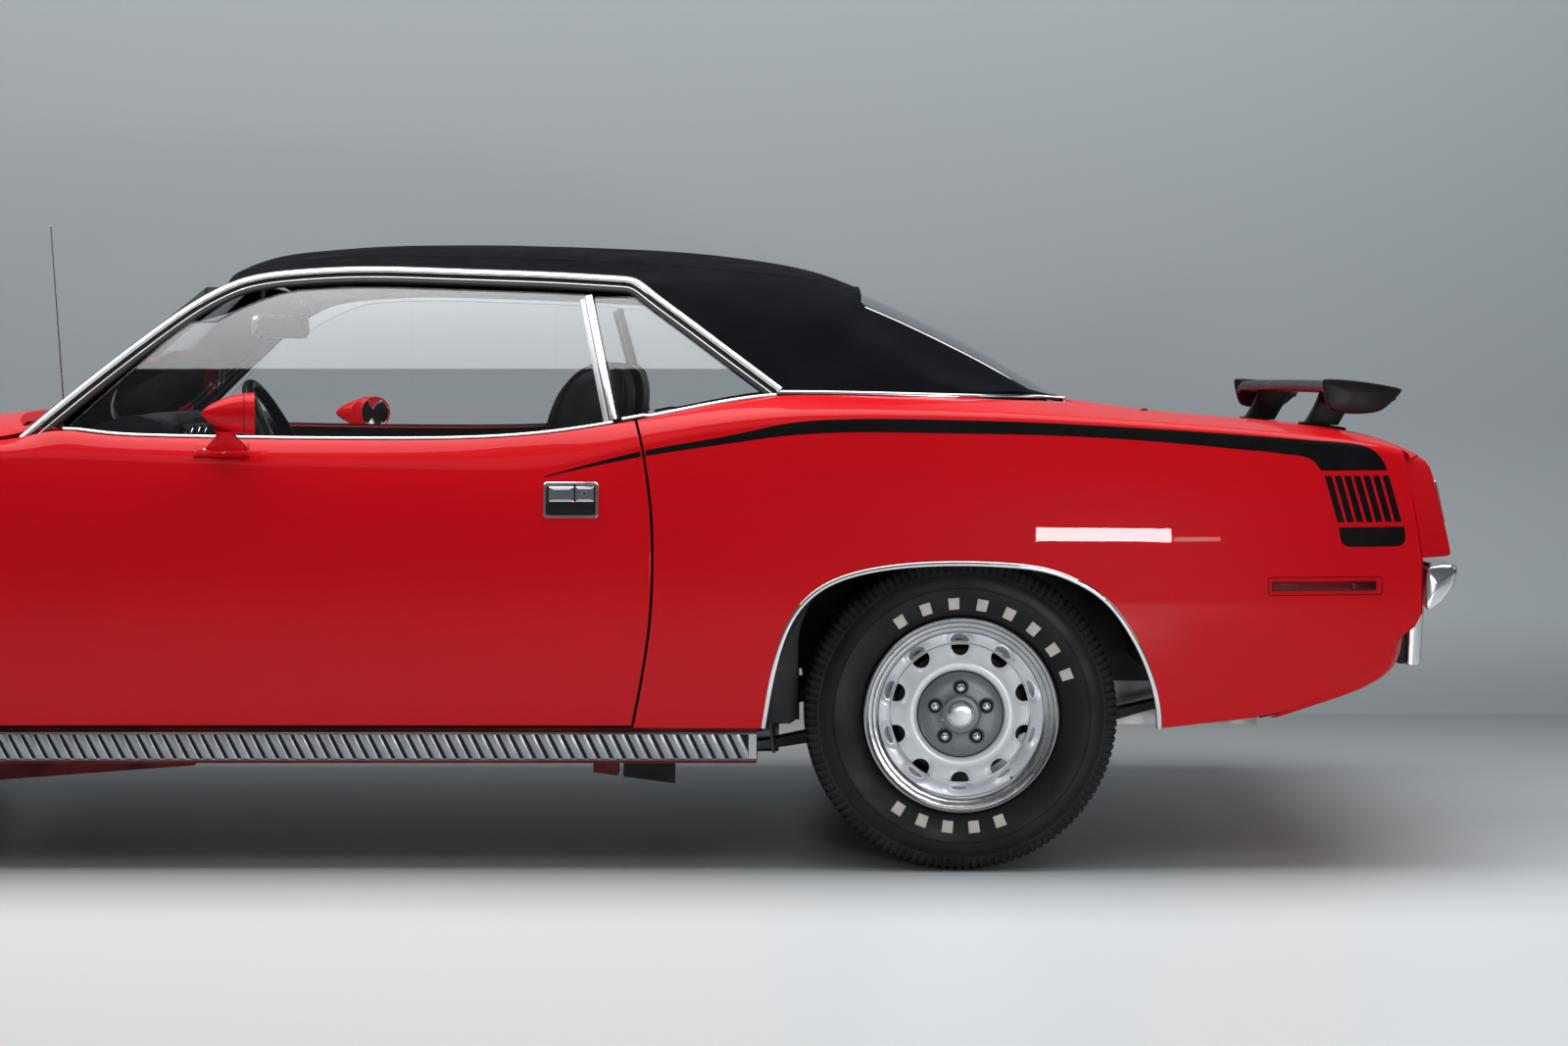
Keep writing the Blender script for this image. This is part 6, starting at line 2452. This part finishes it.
# ------------------------------------------------------------------ dashboard, gauges, column, steering wheel
def dashboard():
    M = Mesh()
    ys = np.unique(np.r_[np.linspace(-766, 766, 66), 176, 184, 576, 584])
    rows = []
    for y in ys:
        k = 1.0 if abs(y) < 735 else 0.985
        hood = smooth((200.0 - abs(y - 380.0)) / 26.0)
        fx = min(850.0, float(ws_x(y, 893.0)) - 40.0)
        P = [(fx - 4, 702), (fx - 2, 858), (fx - 62, 898), (560, 938), (470, 966), (412, lerp(950, 969, hood)), (400, lerp(944, 952, hood)), (421, 860), (471, 742), (560, 692)]
        R = dense(soft_ring(P, 0.16, 2), 70)
        rows.append(np.column_stack([R[:, 0], np.full(70, y * k), R[:, 1]]))
    R = np.array(rows)
    M.grid(R, 0, cv=True, out=lambda Q: Q - Q.mean(1, keepdims=True))
    M.fan(R[0], 0, (0, -1, 0))
    M.fan(R[-1], 0, (0, 1, 0))
    # instrument face under the hood, leaning like the dash's own face: (x at z)
    face = lambda z: lerp(400.0, 421.0, (947.0 - z) / 87.0)

    def facing(G2, lift):
        x = face(G2[:, 1]) - lift
        return np.column_stack([x, G2[:, 0], G2[:, 1]])
    pan = rrect(212, 548, 866, 940, 12)
    A, B = facing(pan, 0.5), facing(inset(pan, 3), 2.5)
    M.grid(np.stack([A, B], 1), 1, cu=True, out=(-1, 0, 0))
    M.fan(B, 1, (-1, 0, 0))
    t = np.linspace(0, 2 * math.pi, 40, endpoint=False)
    for y, z, r in ((250, 903, 30), (330, 903, 33), (414, 903, 33), (490, 906, 22), (490, 906, 22), (532, 906, 13)):
        ring = lambda rr, l: facing(np.column_stack([y + rr * np.cos(t), z + rr * np.sin(t)]), l)
        M.grid(np.stack([ring(r, 2.5), ring(r - 0.5, 5.5), ring(r - 3.0, 5.2), ring(r - 3.4, 3.2)], 1), 2, cu=True, out=(-1, 0, 0))
        M.fan(ring(r - 3.2, 3.3), 3, (-1, 0, 0))
        nt_ = 18 if r > 25 else 10
        for k in range(nt_):
            a = math.radians(-40 + 260.0 * k / (nt_ - 1))
            long_ = 5.0 if k % 3 == 0 else 3.0
            c, s_ = math.cos(a), math.sin(a)
            q = [(r - 4.5, -0.55), (r - 4.5, 0.55), (r - 4.5 - long_, 0.55), (r - 4.5 - long_, -0.55)]
            P = facing(np.array([(y + u_ * c - v_ * s_, z + u_ * s_ + v_ * c) for u_, v_ in q]), 3.7)
            M.fan(P, 4, (-1, 0, 0))
        a = math.radians(200)
        c, s_ = math.cos(a), math.sin(a)
        P = facing(np.array([(y + u_ * c - v_ * s_, z + u_ * s_ + v_ * c) for u_, v_ in [(-5, -0.8), (-5, 0.8), (r - 8, 0.3), (r - 8, -0.3)]]), 4.3)
        M.fan(P, 4, (-1, 0, 0))
    # radio, heater slides, glovebox door, ash tray, vents: plain faces
    for y0, y1, z0, z1, m in ((20, 160, 872, 905, 1), (20, 160, 826, 862, 1), (-560, -230, 826, 905, 0), (-200, -30, 872, 905, 1), (-700, -600, 872, 905, 1), (600, 700, 872, 905, 1)):
        rr = rrect(y0, y1, z0, z1, 5)
        fx2 = lambda z: np.where(z > 860, lerp(400.0, 421.0, (947.0 - z) / 87.0), lerp(421.0, 471.0, (860.0 - z) / 118.0))
        pts = [np.column_stack([fx2(q[:, 1]) - l, q[:, 0], q[:, 1]]) for q, l in ((rr, 0.0), (rr, 2.6), (inset(rr, 1.6), 4.0))]
        M.grid(np.stack(pts, 1), m, cu=True, out=(-1, 0, 0))
        M.fan(pts[-1], m, (-1, 0, 0))
        if m == 1 and y1 - y0 > 90:
            for k in range(5):
                yy = lerp(y0 + 22, y1 - 22, k / 4.0)
                zz = 0.5 * (z0 + z1)
                M.lathe([(0.01, -10), (5.5, -10), (6.5, -8), (6.8, -3)], (float(fx2(np.array(zz))), yy, zz), "x", 16, 2)
    # padded top line with stitches kept simple, and the column
    ax = np.array([-0.893, 0, 0.45])
    ax /= np.linalg.norm(ax)
    c = np.array([194.0, 380.0, 860.0])
    P = [c - ax * 345 + ax * (319 * k) for k in np.linspace(0, 1, 12)]
    M.tube(P, np.array([23.5] * 8 + [23.5, 23.8, 23.8, 22.0]), 0, 28)
    q = c - ax * 62
    side = np.array([0, 1.0, 0])
    M.tube([q, q + side * 60 + ax * 4, q + side * 118 + ax * 14], [3.2, 3.0, 2.6], 2, 10)
    M.ball(q + side * 120 + ax * 14, 6.0, 0, 14, 10)
    M.tube([q, q - side * 50 + ax * 2, q - side * 122 + ax * 12], [4.0, 3.6, 3.0], 2, 10)
    M.ball(q - side * 124 + ax * 12, 8.0, 0, 16, 10)
    M.obj("dash_skin", [M_TRIM, M_SATIN, M_CHROME, M_GAUGE, M_MARK], "root", sharp=38, slot="interior_plastic", replaces="dashboard")


dashboard()


def steering_wheel():
    ax = np.array([-0.893, 0, 0.45])
    ax /= np.linalg.norm(ax)
    c = np.array([194.0, 380.0, 860.0])
    u = np.array([0, 1.0, 0])
    v = np.cross(ax, u)
    if v[2] < 0:
        v = -v
    M = Mesh()
    n, k = 216, 18
    A = np.linspace(0, 2 * math.pi, n, endpoint=False)
    B = np.linspace(0, 2 * math.pi, k, endpoint=False)
    G = np.zeros((n, k, 3))
    for i, a in enumerate(A):
        # finger notches on the back of the rim
        notch = 1.7 * (0.5 + 0.5 * math.cos(a * 36))
        rad = u * math.cos(a) + v * math.sin(a)
        for j, b in enumerate(B):
            r = 13.6 - notch * max(0.0, -math.cos(b)) ** 0.7 if math.cos(b) < 0 else 13.6
            G[i, j] = c + rad * (186 + r * math.cos(b)) + ax * r * math.sin(b)
    M.grid(G, 0, cu=True, cv=True, out=lambda Q: Q - np.stack([Q.mean(1)] * k, 1))
    for deg in (90, 210, 330):
        a = math.radians(deg)
        rad = u * math.cos(a) + v * math.sin(a)
        tan = -u * math.sin(a) + v * math.cos(a)
        rows = []
        for q in np.linspace(0, 1, 16):
            p = c + rad * lerp(20, 178, q) + ax * lerp(-11, -1, q)
            w = lerp(15.0, 9.0, q) * 0.52
            t = np.linspace(0, 2 * math.pi, 18, endpoint=False)
            rows.append(p + np.outer(np.sign(np.cos(t)) * np.abs(np.cos(t)) ** 0.6 * w, tan) + np.outer(np.sin(t) * 3.2, ax))
        R = np.array(rows)
        M.grid(R, 1, cv=True, out=lambda Q: Q - Q.mean(1, keepdims=True))
        for q in (0.42, 0.58, 0.74):
            p = c + rad * lerp(20, 178, q) + ax * (lerp(-11, -1, q) + 3.1)
            t = np.linspace(0, 2 * math.pi, 20, endpoint=False)
            ring = p + np.outer(np.cos(t) * 3.0, tan) + np.outer(np.sin(t) * 4.2, rad)
            M.fan(ring, 2, ax)
    prof = [(37.5, -14), (37.5, 2), (35, 7), (27, 10.5), (14, 12.0), (0.01, 12.3)]
    t = np.linspace(0, 2 * math.pi, 48, endpoint=False)
    R = np.stack([c + np.outer(np.cos(t) * r, u) + np.outer(np.sin(t) * r, v) + ax * h for r, h in prof], 1)
    M.grid(R, 0, cu=True, out=lambda Q: Q - (c - ax * 30))
    ringc = np.stack([c + np.outer(np.cos(t) * r, u) + np.outer(np.sin(t) * r, v) + ax * h for r, h in ((24, 11.0), (24, 12.6), (21, 13.0), (20, 11.6))], 1)
    M.grid(ringc, 1, cu=True, out=lambda Q: Q - (c - ax * 10))
    M.obj("steering_wheel_skin", [M_SATIN, M_STAINLESS, M_FLATBLACK], "steering_wheel", sharp=40, slot="interior_plastic", replaces="steering_wheel")


steering_wheel()


# ------------------------------------------------------------------ doors' inner trim, carpets, console, inner mirror
def door_card(side, name):
    M = Mesh()
    y_in_ = 864.0 - DOOR_T

    def at(ring, lift):
        return np.column_stack([ring[:, 0], np.full(len(ring), y_in_ - lift), ring[:, 1]])
    card = rrect(-560, 505, 372, 862, 26, 8)
    pts = [at(card, 0.0), at(card, 4.0), at(inset(card, 4), 7.0)]
    M.grid(np.stack(pts, 1), 0, cu=True, out=(0, -1, 0))
    M.fan(pts[-1], 0, (0, -1, 0))
    # upright pleats, a bright line, arm rest, pull, crank and release
    for k in range(26):
        x = -505 + k * 38.0
        M.block(x - 16, x + 16, y_in_ - 10.5, y_in_ - 5.5, 470, 640, 0, 4.0)
    for z in (458, 652):
        M.block(-545, 490, y_in_ - 9.5, y_in_ - 6.0, z - 3, z + 3, 1, 1.2)
    M.block(-300, 130, y_in_ - 46, y_in_ - 5, 668, 702, 0, 13.0)
    M.tube([(210, y_in_ - 8, 700), (210, y_in_ - 26, 700), (150, y_in_ - 30, 690), (95, y_in_ - 30, 682)], 5.0, 1, 10)
    M.ball((95, y_in_ - 36, 682), (9, 9, 9), 2, 16, 10)
    plate(M, rrect(265, 335, 712, 734, 8), "y", y_in_ - 15, y_in_ - 6, 1, 2.5)
    M.ball((-520, y_in_ - 10, 842), (6, 6, 14), 2, 14, 10)
    if side < 0:
        M = M.mirror()
    M.obj(name + "_door_card", [M_SEATV, M_STAINLESS, M_TRIM], name + "_door", sharp=40, slot="interior_plastic")


both_sides(door_card)


def cabin():
    M = Mesh()
    # carpets over the pan, with raised heel pads; tunnel cover
    for s in (1, -1):
        a, b = (146, 786) if s > 0 else (-786, -146)
        plate(M, np.array(rrect(-556, 868, a, b, 10)), "z", 238.4, 245.0, 0, 3.0)
        plate(M, np.array(rrect(330, 640, s * 386 - 130, s * 386 + 130, 14)), "z", 244.8, 249.0, 1, 2.0)
    G = []
    for x in np.linspace(880, -560, 40):
        a = np.array([(-146, 246), (-145, 300), (-143, 340), (-132, 355.5), (-60, 357.5), (0, 358), (60, 357.5), (132, 355.5), (143, 340), (145, 300), (146, 246)], float)
        G.append(np.column_stack([np.full(len(a), x), a]))
    M.grid(np.array(G), 0, out=lambda Q: Q - np.array([0, 0, 300.0]) * 1.0 - Q * [1, 0, 0])
    # toe board carpet
    for s in (1, -1):
        a, b = (146, 750) if s > 0 else (-750, -146)
        plate(M, np.array(rrect(a, b, 246, 560, 10)), "x", 877, 883.6, 0, 2.0)
    M.obj("carpet", [M_CARPET, M_SEAL], "root", sharp=45, slot="interior_plastic")
    # console with its shifter
    M = Mesh()
    rows = []
    for x, z, w in ((470, 352, 70), (468, 420, 74), (430, 446, 78), (300, 440, 82), (100, 428, 84), (-120, 424, 84), (-230, 470, 84), (-330, 474, 82), (-372, 462, 80), (-380, 360, 78)):
        t = rrect(-w, w, 352, max(z, 356), 10, 5)
        rows.append(np.column_stack([np.full(len(t), x), t]))
    R = np.array(rows)
    M.grid(R, 0, cv=True, out=lambda Q: Q - Q.mean(1, keepdims=True))
    M.fan(R[0], 0, (1, 0, 0))
    M.fan(R[-1], 0, (-1, 0, 0))
    plate(M, rrect(-100, 400, -58, 58, 16), "z", 428, 431.5, 1, 1.0, f=lambda P: P + np.stack([0 * P[:, 0], 0 * P[:, 0], 2 + 12.0 * smooth((P[:, 0] - 60) / 340.0)], -1))
    M.tube(curve([(190, 0, 432), (186, 0, 500), (160, 0, 560), (128, 0, 606)], 20), 6.0, 2, 12)
    M.ball((124, 0, 616), (17, 17, 19), 3, 20, 14)
    M.lathe([(36, 433), (30, 444), (18, 458), (8, 466)], (188, 0, 0), "z", 24, 3)
    M.obj("console", [M_TRIM, M_WOOD, M_STAINLESS, M_SATIN], "root", sharp=40, slot="interior_plastic")
    # inner mirror, on its stalk at the windshield's head
    M = Mesh()
    o = rrect(-104, 104, -27, 27, 17, 8)

    def turn(P):
        Q = P.copy()
        a = math.radians(28)
        y = Q[:, 1] * math.cos(a) - Q[:, 0] * math.sin(a)
        x = Q[:, 1] * math.sin(a) + Q[:, 0] * math.cos(a)
        return np.column_stack([x + 268.0, y, Q[:, 2] + 1164.0])
    plate(M, o, "x", -6.0, 12.0, 0, 5.0, f=turn)
    plate(M, inset(o, 4.5), "x", -7.2, -5.0, 1, 0.6, f=turn)
    M.tube(curve([(276, 0, 1162), (300, 0, 1190), (312, 0, 1226), (306, 0, 1262)], 14), 5.0, 2, 10)
    M.lathe([(0.01, 1264), (20, 1266), (22, 1272)], (306, 0, 0), "z", 24, 2)
    M.obj("inner_mirror", [M_MIRCASE, M_MIRROR, M_STAINLESS], "root", sharp=40, slot="interior_plastic")
    # sun visors
    M = Mesh()
    for s in (1, -1):
        def lean(P):
            Q = P.copy()
            x = np.full(len(P), 0.0)
            base = roof_z(P[:, 0], P[:, 1])
            Q[:, 2] = base - 34.0 + P[:, 2]
            return Q
        a, b = (120, 540) if s > 0 else (-540, -120)
        plate(M, rrect(150, 268, a, b, 18, 6), "z", 0, 9, 0, 3.5, f=lean)
    M.obj("sun_visors", [M_LINER], "root", sharp=45, slot="interior_plastic")
    # quarter inner trim beside the rear seat
    M = Mesh()
    for s in (1, -1):
        y = s * 770.0
        plate(M, dense(soft_ring([(-575, 302), (-575, 905), (-900, 940), (-1110, 900), (-1110, 862), (-960, 500), (-960, 302)], 0.05, 2), 90), "y", y - 4, y + 4, 0, 3.0,
              f=lambda P: P - np.column_stack([0 * P[:, 0], np.sign(P[:, 1]) * 60.0 * smooth((-940.0 - P[:, 0]) / 180.0), 0 * P[:, 0]]))
    M.obj("quarter_trim", [M_SEATV], "root", sharp=45, slot="interior_plastic")


cabin()


# ------------------------------------------------------------------ rear wheelhouse skirt is the frame's own; finishes for the rest
carry(["floor_pan"], M_REDUNDER)
carry(["rocker_panels"], M_REDUNDER)
carry(["transmission_tunnel", "rear_floor", "wheelhouses"], M_UNDER)
carry(["front_frame", "rear_axle", "leaf_springs", "left_knuckle", "right_knuckle", "front_suspension"], M_IRON)
carry(["engine"], M_ENGINE)
carry(["radiator"], M_RADI)
carry(["fuel_tank", "exhaust"], M_STEEL)
